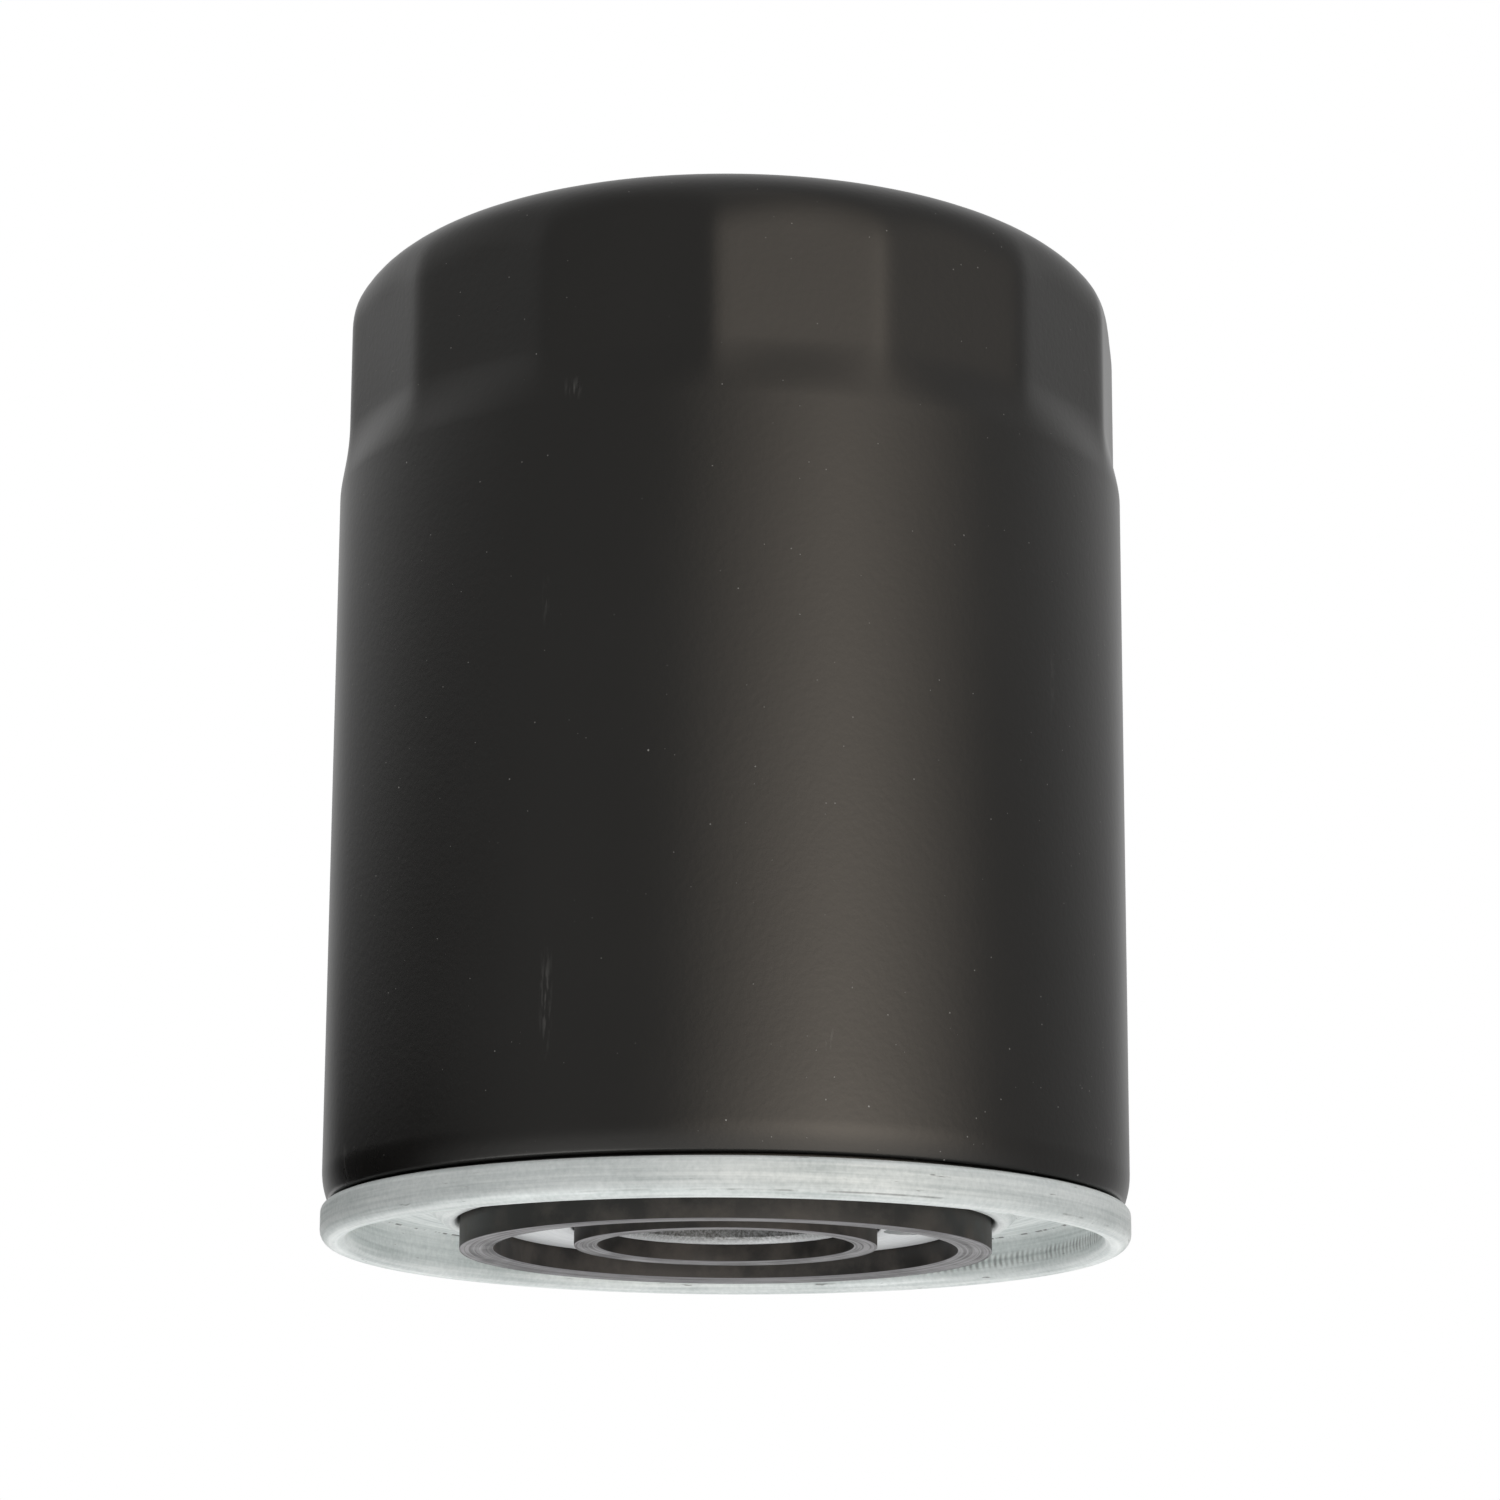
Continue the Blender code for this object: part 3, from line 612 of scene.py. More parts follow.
poppet_low, poppet_top = levels("bypass_poppet")
poppet_mesh = revolve(rounded([
    (0.0, poppet_top),
    (POPPET_RADIUS, poppet_top, EDGE),
    (POPPET_RADIUS, poppet_top - POPPET_WALL, EDGE),
    (STEM_RADIUS, poppet_top - POPPET_WALL, 2 * EDGE),
    (STEM_RADIUS, poppet_low, 2 * EDGE),
    (0.0, poppet_low),
]))
piece("valve_poppet", poppet_mesh, valve_steel, "bypass_valve", "bypass_poppet")

valve_rubber = moulded_rubber()
seal_low, seal_top = levels("bypass_seal")
seal_mesh = revolve(rounded([
    (SEAL_HOLE, seal_low, EDGE),
    (POPPET_RADIUS, seal_low, EDGE),
    (POPPET_RADIUS, seal_top, EDGE),
    (SEAL_HOLE, seal_top, EDGE),
]))
piece("valve_seal", seal_mesh, valve_rubber, "bypass_valve", "bypass_seal")


# Bypass spring: a small coil of drawn wire with flat end turns, between the cage's floor and the disc.
# It sets the pressure at which the oil goes past a clogged element.

VALVE_WIRE = 1.0
VALVE_COIL_RADIUS = 5.0
SPRING_COILS = 3.0
END_TURN = 0.5
COIL_POINTS = 40
WIRE_SIDES = 16
WIRE_COLOURS = ((0.27, 0.25, 0.23), (0.44, 0.43, 0.41))


def coil(low, high, radius, wire):
    """A spring between two levels, wound from round wire, with flat end turns."""
    turns = SPRING_COILS + 2 * END_TURN
    count = round(turns * COIL_POINTS)
    path = []
    for i in range(count + 1):
        turn = turns * i / count
        climb = min(max(turn - END_TURN, 0.0), SPRING_COILS) / SPRING_COILS
        angle = math.tau * turn
        z = low + wire / 2 + (high - low - wire) * climb
        path.append(Vector((radius * math.cos(angle), radius * math.sin(angle), z)))
    verts, faces = [], []
    for i, middle in enumerate(path):
        along = (path[min(i + 1, count)] - path[max(i - 1, 0)]).normalized()
        out = Vector((middle.x, middle.y, 0.0)).normalized()
        over = out.cross(along)
        for side in range(WIRE_SIDES):
            turn = math.tau * side / WIRE_SIDES
            verts.append(middle + (out * math.cos(turn) - over * math.sin(turn)) * wire / 2)
    for i in range(count):
        for side in range(WIRE_SIDES):
            ring, following = i * WIRE_SIDES, (i + 1) * WIRE_SIDES
            after = (side + 1) % WIRE_SIDES
            faces.append((ring + side, ring + after, following + after, following + side))
    faces += [tuple(range(WIRE_SIDES))[::-1], tuple(range(count * WIRE_SIDES, (count + 1) * WIRE_SIDES))]
    return new_mesh(verts, faces)


def spring_steel():
    """Drawn wire, tempered grey-brown, with fine draw lines and oily patches."""
    steel = new_finish("spring_steel", {"Metallic": 1.0})
    lines = turned_marks(steel, 3.0, 5200.0)
    oil = spread(steel, grain(steel, 120.0, 4.0), 0.35, 0.65)
    return coat(steel, {
        "Base Color": mixed(steel, oil, *WIRE_COLOURS),
        "Roughness": spread(steel, lines, 0.35, 0.65, 0.44, 0.28),
        "Normal": bumped(steel, lines, 0.03, 0.5),
    })


def spring(name, body, cad_node, radius, wire):
    """A coil of wire between the lowest and highest level of a CAD node, with a mesh of its own."""
    low, high = levels(cad_node)
    made = piece(name, coil(low, high, radius, wire), wire_finish, body, cad_node)
    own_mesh(made)


wire_finish = spring_steel()
spring("valve_spring", "element", "bypass_spring", VALVE_COIL_RADIUS, VALVE_WIRE)


# Spring seat: a pressed tinplate ring that the element spring holds down on the upper end cap.
# Its low rim centres that spring.

SPRING_SEAT_WALL = 0.6
SPRING_SEAT_HOLE = 12.7
SPRING_SEAT_RADIUS = 18.5
SPRING_SEAT_FILLET = 0.7

ring_low, ring_top = levels("spring_seat")
ring_rim_r = SPRING_SEAT_RADIUS - SPRING_SEAT_WALL / 2
ring_path = rounded([
    (SPRING_SEAT_HOLE, ring_low + SPRING_SEAT_WALL / 2),
    (ring_rim_r, ring_low + SPRING_SEAT_WALL / 2, SPRING_SEAT_FILLET),
    (ring_rim_r, ring_top),
])
ring_mesh = revolve(sheet(ring_path, SPRING_SEAT_WALL))
piece("spring_ring", ring_mesh, tinplate, "element", "spring_seat")


# Element spring: a stout coil between that ring and the inside of the dome.
# It holds the element down on the anti-drain valve, and gives way when pressure lifts the element.

ELEMENT_WIRE = 2.2
ELEMENT_COIL_RADIUS = 16.5

spring("dome_spring", "housing", "element_spring", ELEMENT_COIL_RADIUS, ELEMENT_WIRE)


# Can: deep-drawn steel, with fifteen wrench flats pressed into the dome end and a neck at the seam.
# It is powder-coated satin black, and has picked up dust and a few scuffs.

RIM_RADIUS = 54.0
SHEET_WALL = 0.5            # can and lid are pressed from the same gauge
SEAM_GAP = 0.3
LAYER = SHEET_WALL + SEAM_GAP
SEAM_WALL_R = RIM_RADIUS - SHEET_WALL / 2
BODY_HOOK_R = SEAM_WALL_R - LAYER
COVER_HOOK_R = BODY_HOOK_R - LAYER
BODY_WALL_R = COVER_HOOK_R - LAYER
CHUCK_WALL_R = BODY_WALL_R - LAYER
RIM_LOW = 0.4
SEAM_TOP = 5.5
CAN_RADIUS = 53.9
NECK_GAP = 0.35
NECK_HEIGHT = 4.0           # the wall draws in over this height above the seam
NECK_DEPTH = 0.8
NECK_STEPS = 6
NECK_FILLET = 0.6
DOME_REACH = 16.0           # the dome's rounded edge, in from the wall
DOME_DROP = 12.3            # and down from the top
DOME_STEPS = 20
TOP_ROWS = 8
FLATS = 15
FLAT_DEPTH = 1.3
FLAT_LENGTH = 13.7
FLAT_FADE = 7.5             # how far the flats run up into the dome's edge
FLAT_ROWS = 8
SHOULDER = 8.2
SHOULDER_ROWS = 16
WALL_ROWS = 12
FLAT_TURN = math.radians(3.5)
FLAT_STEPS = 24             # points round the can, for each flat
FLAT_BLEND = 200.0          # the higher, the tighter the edge between two flats
PAINT_COLOURS = ((0.0050, 0.0045, 0.0041), (0.0072, 0.0067, 0.0063))
PAINT_SHEEN = (1.0, 0.985, 0.945, 1.0)
SCUFF_PALE = 0.16           # how far a scuff goes towards the colour of dust
SCUFFS = (                  # degrees from the front, height, half width, half height, strength
    (-24.7, 25.5, 1.0, 8.0, 1.0),
    (-25.6, 77.0, 0.6, 4.0, 0.5),
    (-22.0, 104.6, 1.6, 1.8, 0.8),
    (13.5, 20.0, 1.0, 1.6, 1.0),
    (51.0, 70.0, 0.6, 5.0, 0.5),
    (-66.0, 9.0, 1.0, 2.4, 1.0),
)
DUST = (                    # cells for each metre, share of them left clean, size in its cell, strength
    (400.0, 0.82, 0.060, 0.60),
    (900.0, 0.70, 0.100, 0.40),
)
DUST_COLOUR = (0.42, 0.41, 0.39)
DUST_TURN = math.radians(55)    # more dust has settled on this side, low on the wall
DUST_LEVEL = 42.0


def smooth(share):
    """Rises from 0 to 1 with a level start and end."""
    share = min(max(share, 0.0), 1.0)
    return share * share * (3 - 2 * share)


def flat_share(angle):
    """The radius of the ring of flats at an angle, as a share of the round can's, with softened edges."""
    pitch = math.tau / FLATS
    from_middle = angle % pitch - pitch / 2
    reach = sum(max(math.cos(from_middle + k * pitch), 0.0) ** FLAT_BLEND for k in (-1, 0, 1))
    return (1 - FLAT_DEPTH / CAN_RADIUS) * reach ** (-1 / FLAT_BLEND)


def pressed(angle, r, z):
    """Presses the flats into the round can."""
    depth = smooth((z - flat_low) / SHOULDER + 1) * (1 - smooth((z - flat_top) / FLAT_FADE))
    return r * (1 - depth * (1 - min(flat_share(angle - FLAT_TURN), 1.0))), z


def even_steps(start, end, count):
    """Points that divide a straight line evenly. The start is left out."""
    return [tuple(a + (b - a) * i / count for a, b in zip(start, end)) for i in range(1, count + 1)]


def facing(owner, angle, turn):
    """1 on the side that a turn from the front points to, and -1 on the other side."""
    return sums(owner, "COSINE", sums(owner, "SUBTRACT", angle, turn))


def dust(paint):
    """Specks of dust, coarse and fine: small dots near the middles of some cells of an even pattern."""
    angle, _, height = round_place(paint)
    settled = spread(paint, facing(paint, angle, DUST_TURN), 0.7, 1.0, 0.0, 0.3)
    settled = spread(paint, height, 0.0, DUST_LEVEL * MM, settled, 0.0)
    specks = 0.0
    for scale, clean, largest, strength in DUST:
        cells = node(paint, "TexVoronoi", {"Vector": object_place(paint), "Scale": scale})
        chosen = node(paint, "SeparateColor", {0: cells.outputs["Color"]}).outputs["Red"]
        size = spread(paint, sums(paint, "ADD", chosen, settled), clean, 1.0, 0.0, largest)
        inside = sums(paint, "SUBTRACT", size, cells.outputs["Distance"])
        specks = sums(paint, "MAXIMUM", specks, spread(paint, inside, 0.0, 0.02, 0.0, strength))
    return specks


def scuffs(paint):
    """Rubbed places at the angles and heights where the can has been touched."""
    angle, _, height = round_place(paint)
    drawn_out = node(paint, "CombineXYZ", {"X": angle, "Y": times(paint, height, 2.5)}).outputs[0]
    streaks = grain(paint, 130.0, 4.0, 0.5, drawn_out)
    worn = 0.0
    for turn, level, width, tall, strength in SCUFFS:
        aside = apart(paint, angle, math.radians(turn))
        across = spread(paint, aside, 0.0, width / CAN_RADIUS, strength, 0.0)
        along = spread(paint, apart(paint, height, level * MM), 0.0, tall * MM, 1.0, 0.0)
        worn = sums(paint, "MAXIMUM", worn, times(paint, across, along))
    return times(paint, worn, spread(paint, streaks, 0.48, 0.62))


def black_paint():
    """Satin black powder coat: orange peel, a slightly uneven sheen, dust and scuffs."""
    paint = new_finish("black_paint", {"Specular Tint": PAINT_SHEEN})
    clouds = spread(paint, grain(paint, 28.0, 4.0), 0.3, 0.7)
    clean = mixed(paint, clouds, *PAINT_COLOURS)
    marks = sums(paint, "MAXIMUM", dust(paint), times(paint, scuffs(paint), SCUFF_PALE))
    satin = spread(paint, clouds, 0.0, 1.0, 0.27, 0.31)
    return coat(paint, {
        "Base Color": mixed(paint, marks, clean, DUST_COLOUR),
        "Roughness": sums(paint, "MULTIPLY_ADD", marks, 0.3, satin),
        "Normal": bumped(paint, grain(paint, 1100.0, 2.0), 0.05, 0.35),
    })


can_top = levels("can")[1]
can_wall_r = CAN_RADIUS - SHEET_WALL / 2
dome_z = can_top - SHEET_WALL / 2
neck_z = SEAM_TOP + NECK_GAP + SHEET_WALL / 2
hook_turn_z = RIM_LOW + SHEET_WALL + SEAM_GAP + SHEET_WALL / 2
hook_fillet = (BODY_HOOK_R - BODY_WALL_R) / 2
flat_top = can_top - DOME_DROP
flat_low = flat_top - FLAT_LENGTH
wall_low = neck_z + NECK_HEIGHT
reach = DOME_REACH - SHEET_WALL / 2
drop = DOME_DROP - SHEET_WALL / 2
can_path = [(0.0, dome_z)]
can_path += even_steps(can_path[-1], (can_wall_r - reach, dome_z), TOP_ROWS)
for step in range(1, DOME_STEPS + 1):
    turn = math.pi / 2 * step / DOME_STEPS
    can_path.append((can_wall_r - reach * (1 - math.sin(turn)), dome_z - drop * (1 - math.cos(turn))))
can_path += even_steps(can_path[-1], (can_wall_r, flat_low), FLAT_ROWS)
can_path += even_steps(can_path[-1], (can_wall_r, flat_low - SHOULDER), SHOULDER_ROWS)
can_path += even_steps(can_path[-1], (can_wall_r, wall_low), WALL_ROWS)
for step in range(1, NECK_STEPS):
    share = step / NECK_STEPS
    can_path.append((can_wall_r - NECK_DEPTH * share ** 2, wall_low - NECK_HEIGHT * share))
can_path += rounded([
    can_path[-1],
    (can_wall_r - NECK_DEPTH, neck_z, NECK_FILLET),
    (BODY_WALL_R, neck_z),
    (BODY_WALL_R, hook_turn_z, hook_fillet),
    (BODY_HOOK_R, hook_turn_z, hook_fillet),
    (BODY_HOOK_R, SEAM_TOP - 2 * SHEET_WALL),
])[1:]
can_mesh = revolve(sheet(can_path, SHEET_WALL), FLATS * FLAT_STEPS, pressed)
piece("painted_can", can_mesh, black_paint(), "housing", "can")


# Base plate: a thick steel plate, tapped in the middle and pierced with six oil inlets, then zinc-plated.
# Its boss comes down through the lid and carries the groove of the inner gasket.

PLATE_STEPS = 192
COARSE_ARC = math.radians(30)
THREAD_CREST = 15.2
THREAD_DEPTH = 0.8
THREAD_PITCH = 1.5
THREAD_ROWS = 12            # points along the bore, for each turn of the thread
THREAD_LEAD = 1.5           # plain part of the hole below the thread
MOUTH_CHAMFER = 0.8
NECK_RADIUS = 17.6
RECESS_FLOOR = 8.65
RECESS_RADIUS = 29.3
FLANGE_LOW = 7.15
FLANGE_TOP = 11.15
FLANGE_RADIUS = 48.3
BOSS_RADIUS = 30.7
GROOVE_IN = 16.85
GROOVE_OUT = 20.55
GROOVE_FLOOR = 5.6
INLETS = 6
INLET_RADIUS = 3.3
INLET_CIRCLE = 24.5
INLET_TURN = math.radians(4.0)
DRILL_PAST = 1.0            # how far the drill goes past both faces
PLATE_COLOURS = ((0.54, 0.555, 0.565), (0.63, 0.645, 0.655))
DIRT_AND_SHADE_COLOUR = (0.105, 0.105, 0.10)


def threaded(angle, r, z):
    """Cuts the thread's grooves into the wall of the hole, with flat crests and roots."""
    if r > THREAD_CREST + SAME_POINT:
        return r, z
    turn = (z / THREAD_PITCH - angle / math.tau) % 1.0
    groove = min(max(1.5 * (1 - abs(2 * turn - 1)) - 0.15, 0.0), 1.0)
    start = smooth((z - bore_low - THREAD_LEAD) / THREAD_PITCH)
    fade = min(start, smooth((boss_top - z) / THREAD_PITCH))
    return r + THREAD_DEPTH * groove * fade, z


def zinc(name, dark, light, metallic, dark_marks_and_shade):
    """Zinc-coated steel: grey-green, with marks of the tools round it and small dark nicks.
    Its last argument gives the share of grime, scratches and painted shade on the surface."""
    metal = new_finish(name, {"Metallic": metallic})
    long_marks = turned_marks(metal, 2.0, 1500.0, 5.0)
    clouds = grain(metal, 60.0, 5.0)
    shade = blend(metal, (long_marks, 0.5), (clouds, 0.3), (grain(metal, 1600.0), 0.2))
    shade = spread(metal, shade, 0.38, 0.62)
    nicks = spread(metal, turned_marks(metal, 14.0, 2200.0, 3.0), 0.32, 0.27, 0.0, 0.7)
    # the nicks, grime and painted shade share one dark colour
    marks_and_shade = sums(metal, "MAXIMUM", nicks, dark_marks_and_shade(metal))
    tool_marks = bumped(metal, long_marks, 0.03, 0.4)
    return coat(metal, {
        "Base Color": mixed(metal, marks_and_shade, mixed(metal, shade, dark, light), DIRT_AND_SHADE_COLOUR),
        "Roughness": spread(metal, shade, 0.0, 1.0, 0.56, 0.40),
        "Normal": bumped(metal, grain(metal, 2400.0), 0.03, 0.4, tool_marks),
    })


def near(owner, value, middle, full, none):
    """1 where the value is within full of the middle, falling to 0 at none. All are in millimetres."""
    return spread(owner, apart(owner, value, middle * MM), full * MM, none * MM, 1.0, 0.0)


def bore_grit_and_shade(metal):
    """Oil and swarf in the hole as fine dark grains, more of them further in, which also paints the
    hole's shade.
    """
    _, radius, height = round_place(metal)
    grit = spread(metal, grain(metal, 2600.0, 4.0, 0.7), 0.38, 0.66, 1.0, 0.40)
    bore = near(metal, radius, THREAD_CREST, THREAD_DEPTH + 0.1, THREAD_DEPTH + 0.3)
    # partly painted shade: the grains darken the hole more the deeper it goes
    inward_shade_and_oil = spread(metal, height, boss_face * MM, bore_low * MM, 0.3, 1.0)
    return times(metal, grit, bore, inward_shade_and_oil)


boss_face, boss_top = levels("base_plate")
bore_low = boss_face + MOUTH_CHAMFER
bore_points = round((boss_top - bore_low) / THREAD_PITCH * THREAD_ROWS)
plate_outline = [(THREAD_CREST, bore_low)]
plate_outline += even_steps(plate_outline[0], (THREAD_CREST, boss_top), bore_points)
plate_outline += rounded([
    plate_outline[-1],
    (NECK_RADIUS, boss_top, EDGE),
    (NECK_RADIUS, RECESS_FLOOR, EDGE),
    (RECESS_RADIUS, RECESS_FLOOR, EDGE),
    (RECESS_RADIUS, FLANGE_TOP, EDGE),
    (FLANGE_RADIUS, FLANGE_TOP, EDGE),
    (FLANGE_RADIUS, FLANGE_LOW, EDGE),
    (BOSS_RADIUS, FLANGE_LOW, EDGE),
    (BOSS_RADIUS, boss_face, EDGE),
    (GROOVE_OUT, boss_face, EDGE),
    (GROOVE_OUT, GROOVE_FLOOR, EDGE),
    (GROOVE_IN, GROOVE_FLOOR, EDGE),
    (GROOVE_IN, boss_face, EDGE),
    (THREAD_CREST + MOUTH_CHAMFER, boss_face),
], COARSE_ARC)[1:]
inlet_z = (boss_face + RECESS_FLOOR) / 2
inlet_places = [at(INLET_TURN + math.tau * i / INLETS, INLET_CIRCLE, inlet_z) for i in range(INLETS)]
plate_mesh = revolve(plate_outline, PLATE_STEPS, threaded)
inlet_depth = RECESS_FLOOR - boss_face
plate_mesh = carved(plate_mesh, rods(inlet_places, INLET_RADIUS, inlet_depth + 2 * DRILL_PAST))
plate_finish = zinc("zinc_plate", *PLATE_COLOURS, 0.3, bore_grit_and_shade)
piece("tapped_plate", plate_mesh, plate_finish, "housing", "base_plate")


# Anti-drain valve: a moulded rubber diaphragm on the neck of the base plate.
# Its skirt lies over the inlets and lifts to let the oil in, but not out.

VALVE_BORE = 17.9
VALVE_COLLAR = 20.5
VALVE_LIP_RADIUS = 29.0
VALVE_LIP = 0.9
VALVE_RISE = 3.2
VALVE_SKIRT = 1.4

flap_low, flap_top = levels("anti_drain_valve")
flap_mesh = revolve(rounded([
    (VALVE_BORE, flap_low, EDGE),
    (VALVE_COLLAR, flap_low, EDGE),
    (VALVE_COLLAR, flap_low + VALVE_RISE, EDGE),
    (VALVE_LIP_RADIUS - VALVE_LIP, flap_low, EDGE),
    (VALVE_LIP_RADIUS, flap_low, EDGE),
    (VALVE_LIP_RADIUS, flap_low + VALVE_LIP, EDGE),
    (VALVE_COLLAR, flap_low + VALVE_RISE + VALVE_SKIRT, 2 * EDGE),
    (VALVE_COLLAR, flap_top, EDGE),
    (VALVE_BORE, flap_top, EDGE),
]), WIDE_RING_STEPS)
piece("drain_flap", flap_mesh, valve_rubber, "housing", "anti_drain_valve")


# Lid: zinc-coated sheet, pressed with a channel, a lip round the gasket's groove and a hem.
# The hem is rolled together with the can's edge, and the roller leaves a band of ticks inside the rim.

CHANNEL_FLOOR = 6.35
LIP_FACE = 3.6
LIP_IN = 36.05
LIP_WIDTH = 1.3
LIP_SLOPE = 3.4
LID_HOLE = 31.0
CHUCK_FILLET = 1.0
SLOPE_FILLET = 1.6
LIP_FILLET = 0.55
TICKS = 270
TICK_STEPS = 3              # points round the lid, for each tick
TICK_LOW = 2.3
TICK_TOP = 4.1
TICK_HALF = (TICK_TOP - TICK_LOW) / 2
TICK_MIDDLE = TICK_LOW + TICK_HALF
TICK_DEPTH = 0.12
TICK_BOW = 0.6              # how far a tick's ends lead its middle, in radians of its period
TICK_DARK_SIDE = math.radians(125)  # the side where the painted shade of the ticks is darkest, from the front
CREASE_R = CHUCK_WALL_R - 0.7 * CHUCK_FILLET    # where shade is painted in the corner of the channel
HEM_SCRATCH = 1.2           # height of the scratches along the hem's outer edge
HEM_TURN = math.radians(45)     # the side that has them, from the front
LID_COLOURS = ((0.46, 0.50, 0.495), (0.76, 0.79, 0.78))

lid_bead_z = RIM_LOW + SHEET_WALL / 2
lid_crown_z = SEAM_TOP - SHEET_WALL / 2
lid_floor_z = CHANNEL_FLOOR + SHEET_WALL / 2
lid_lip_z = LIP_FACE + SHEET_WALL / 2
bead_fillet = (SEAM_WALL_R - CHUCK_WALL_R) / 2
crown_fillet = (SEAM_WALL_R - COVER_HOOK_R) / 2
lid_path = rounded([
    (COVER_HOOK_R, RIM_LOW + 2 * SHEET_WALL + 2 * SEAM_GAP),
    (COVER_HOOK_R, lid_crown_z, crown_fillet),
    (SEAM_WALL_R, lid_crown_z, crown_fillet),
    (SEAM_WALL_R, lid_bead_z, bead_fillet),
    (CHUCK_WALL_R, lid_bead_z, bead_fillet),
    (CHUCK_WALL_R, TICK_LOW),
    (CHUCK_WALL_R, TICK_MIDDLE),
    (CHUCK_WALL_R, TICK_TOP),
    (CHUCK_WALL_R, lid_floor_z, CHUCK_FILLET),
    (LIP_IN + LIP_WIDTH + LIP_SLOPE, lid_floor_z, SLOPE_FILLET),
    (LIP_IN + LIP_WIDTH, lid_lip_z, LIP_FILLET),
    (LIP_IN, lid_lip_z, LIP_FILLET),
    (LIP_IN, lid_floor_z, LIP_FILLET),
    (LID_HOLE, lid_floor_z),
])


def ticked(angle, r, z):
    """Raises the roller's ticks on the inner wall of the rim."""
    step = round(angle / math.tau * TICKS * TICK_STEPS)
    inside = CHUCK_WALL_R - SHEET_WALL / 2
    if step % TICK_STEPS or abs(r - inside) > 0.01 or not TICK_LOW < z < TICK_TOP:
        return r, z
    return r - TICK_DEPTH, z


def tick_shade(metal, angle, radius, height):
    """Painted shade between the ticks, darkest on one side of the lid."""
    off_middle = sums(metal, "DIVIDE", sums(metal, "SUBTRACT", height, TICK_MIDDLE * MM), TICK_HALF * MM)
    bow = times(metal, off_middle, off_middle, TICK_BOW)
    uneven = grain(metal, 500.0, 2.0)
    phase = blend(metal, (angle, TICKS), (bow, 1.0), (uneven, 3.0))
    # painted shade: darker between the raised ticks, where their shading falls, and darker on one side
    between = spread(metal, sums(metal, "COSINE", phase), 0.5, -0.9)
    darker_side = spread(metal, facing(metal, angle, TICK_DARK_SIDE), 0.0, 0.7, 0.08, 0.62)
    patches = spread(metal, grain(metal, 330.0), 0.38, 0.60, 0.35, 1.0)
    band = near(metal, height, TICK_MIDDLE, TICK_HALF - 0.3, TICK_HALF + 0.3)
    inside = near(metal, radius, CHUCK_WALL_R - SHEET_WALL / 2, 0.2, 0.4)
    return times(metal, between, darker_side, patches, band, inside)


def lid_shade_and_scratches(metal):
    """Painted shade between the ticks and in the crease of the channel, and scratches on the hem."""
    angle, radius, height = round_place(metal)
    # painted shade: dark dashes in the crease where the channel's floor meets its wall
    dashes = spread(metal, turned_marks(metal, 30.0, 200.0, 2.0), 0.50, 0.56, 0.0, 0.9)
    corner = near(metal, radius, CREASE_R, 0.08, 0.20)
    crease_shade = times(metal, corner, near(metal, height, CHANNEL_FLOOR, 0.2, 0.3), dashes)
    hem = near(metal, radius, RIM_RADIUS, 0.5, 0.8)
    line = near(metal, height, HEM_SCRATCH, 0.02, 0.16)
    torn = spread(metal, turned_marks(metal, 9.0, 300.0), 0.48, 0.58, 0.0, 0.7)
    turned = spread(metal, facing(metal, angle, HEM_TURN), 0.4, 0.9, 0.25, 1.0)
    marks_and_shade = sums(metal, "MAXIMUM", tick_shade(metal, angle, radius, height), crease_shade)
    return sums(metal, "MAXIMUM", marks_and_shade, times(metal, hem, line, torn, turned))


lid_mesh = revolve(sheet(lid_path, SHEET_WALL), TICKS * TICK_STEPS, ticked)
lid_finish = zinc("zinc_sheet", *LID_COLOURS, 0.15, lid_shade_and_scratches)
piece("rolled_lid", lid_mesh, lid_finish, "housing", "seam_lid")


# Gaskets: two rings of nitrile rubber, cut from tube on a lathe and pressed into their grooves.
# The knife leaves fine round grooves on their sealing faces, which are slightly dished.

GASKET_STEPS = 240
GASKET_HOLE = 31.0
GASKET_RADIUS = 35.5
INNER_GASKET_HOLE = 17.15
INNER_GASKET_RADIUS = 20.25
KNIFE_PITCH = 0.42
KNIFE_DEPTH = 0.03
GASKET_EDGE = 0.1
GASKET_DISH = 0.055         # how far the sealing faces rise towards the hole, for each millimetre
GASKET_WALL_COLOURS = ((0.011, 0.0095, 0.008), (0.046, 0.039, 0.033))
GASKET_FACE_COLOURS = ((0.028, 0.0275, 0.0295), (0.165, 0.162, 0.168))
# painted highlight on the rounded edges between the faces and the walls
GASKET_EDGE_HIGHLIGHT = (0.26, 0.25, 0.27)


def gasket(name, cad_node, hole, radius):
    """A square-cut ring whose sealing face keeps the knife's grooves."""
    low, high = levels(cad_node)
    width = radius - hole - 4 * GASKET_EDGE
    grooves = round(width / KNIFE_PITCH)
    face = []
    for i in range(2 * grooves + 1):
        r = hole + 2 * GASKET_EDGE + width * i / (2 * grooves)
        face.append((r, low + GASKET_DISH * (radius - r) + (KNIFE_DEPTH if i % 2 else 0.0)))
    edges = rounded([
        face[-1],
        (radius, low, GASKET_EDGE),
        (radius, high, GASKET_EDGE),
        (hole, high, GASKET_EDGE),
        (hole, low + GASKET_DISH * (radius - hole), GASKET_EDGE),
        face[0],
    ], COARSE_ARC)[1:-1]
    piece(name, revolve(face + edges, GASKET_STEPS), gasket_finish, "housing", cad_node)


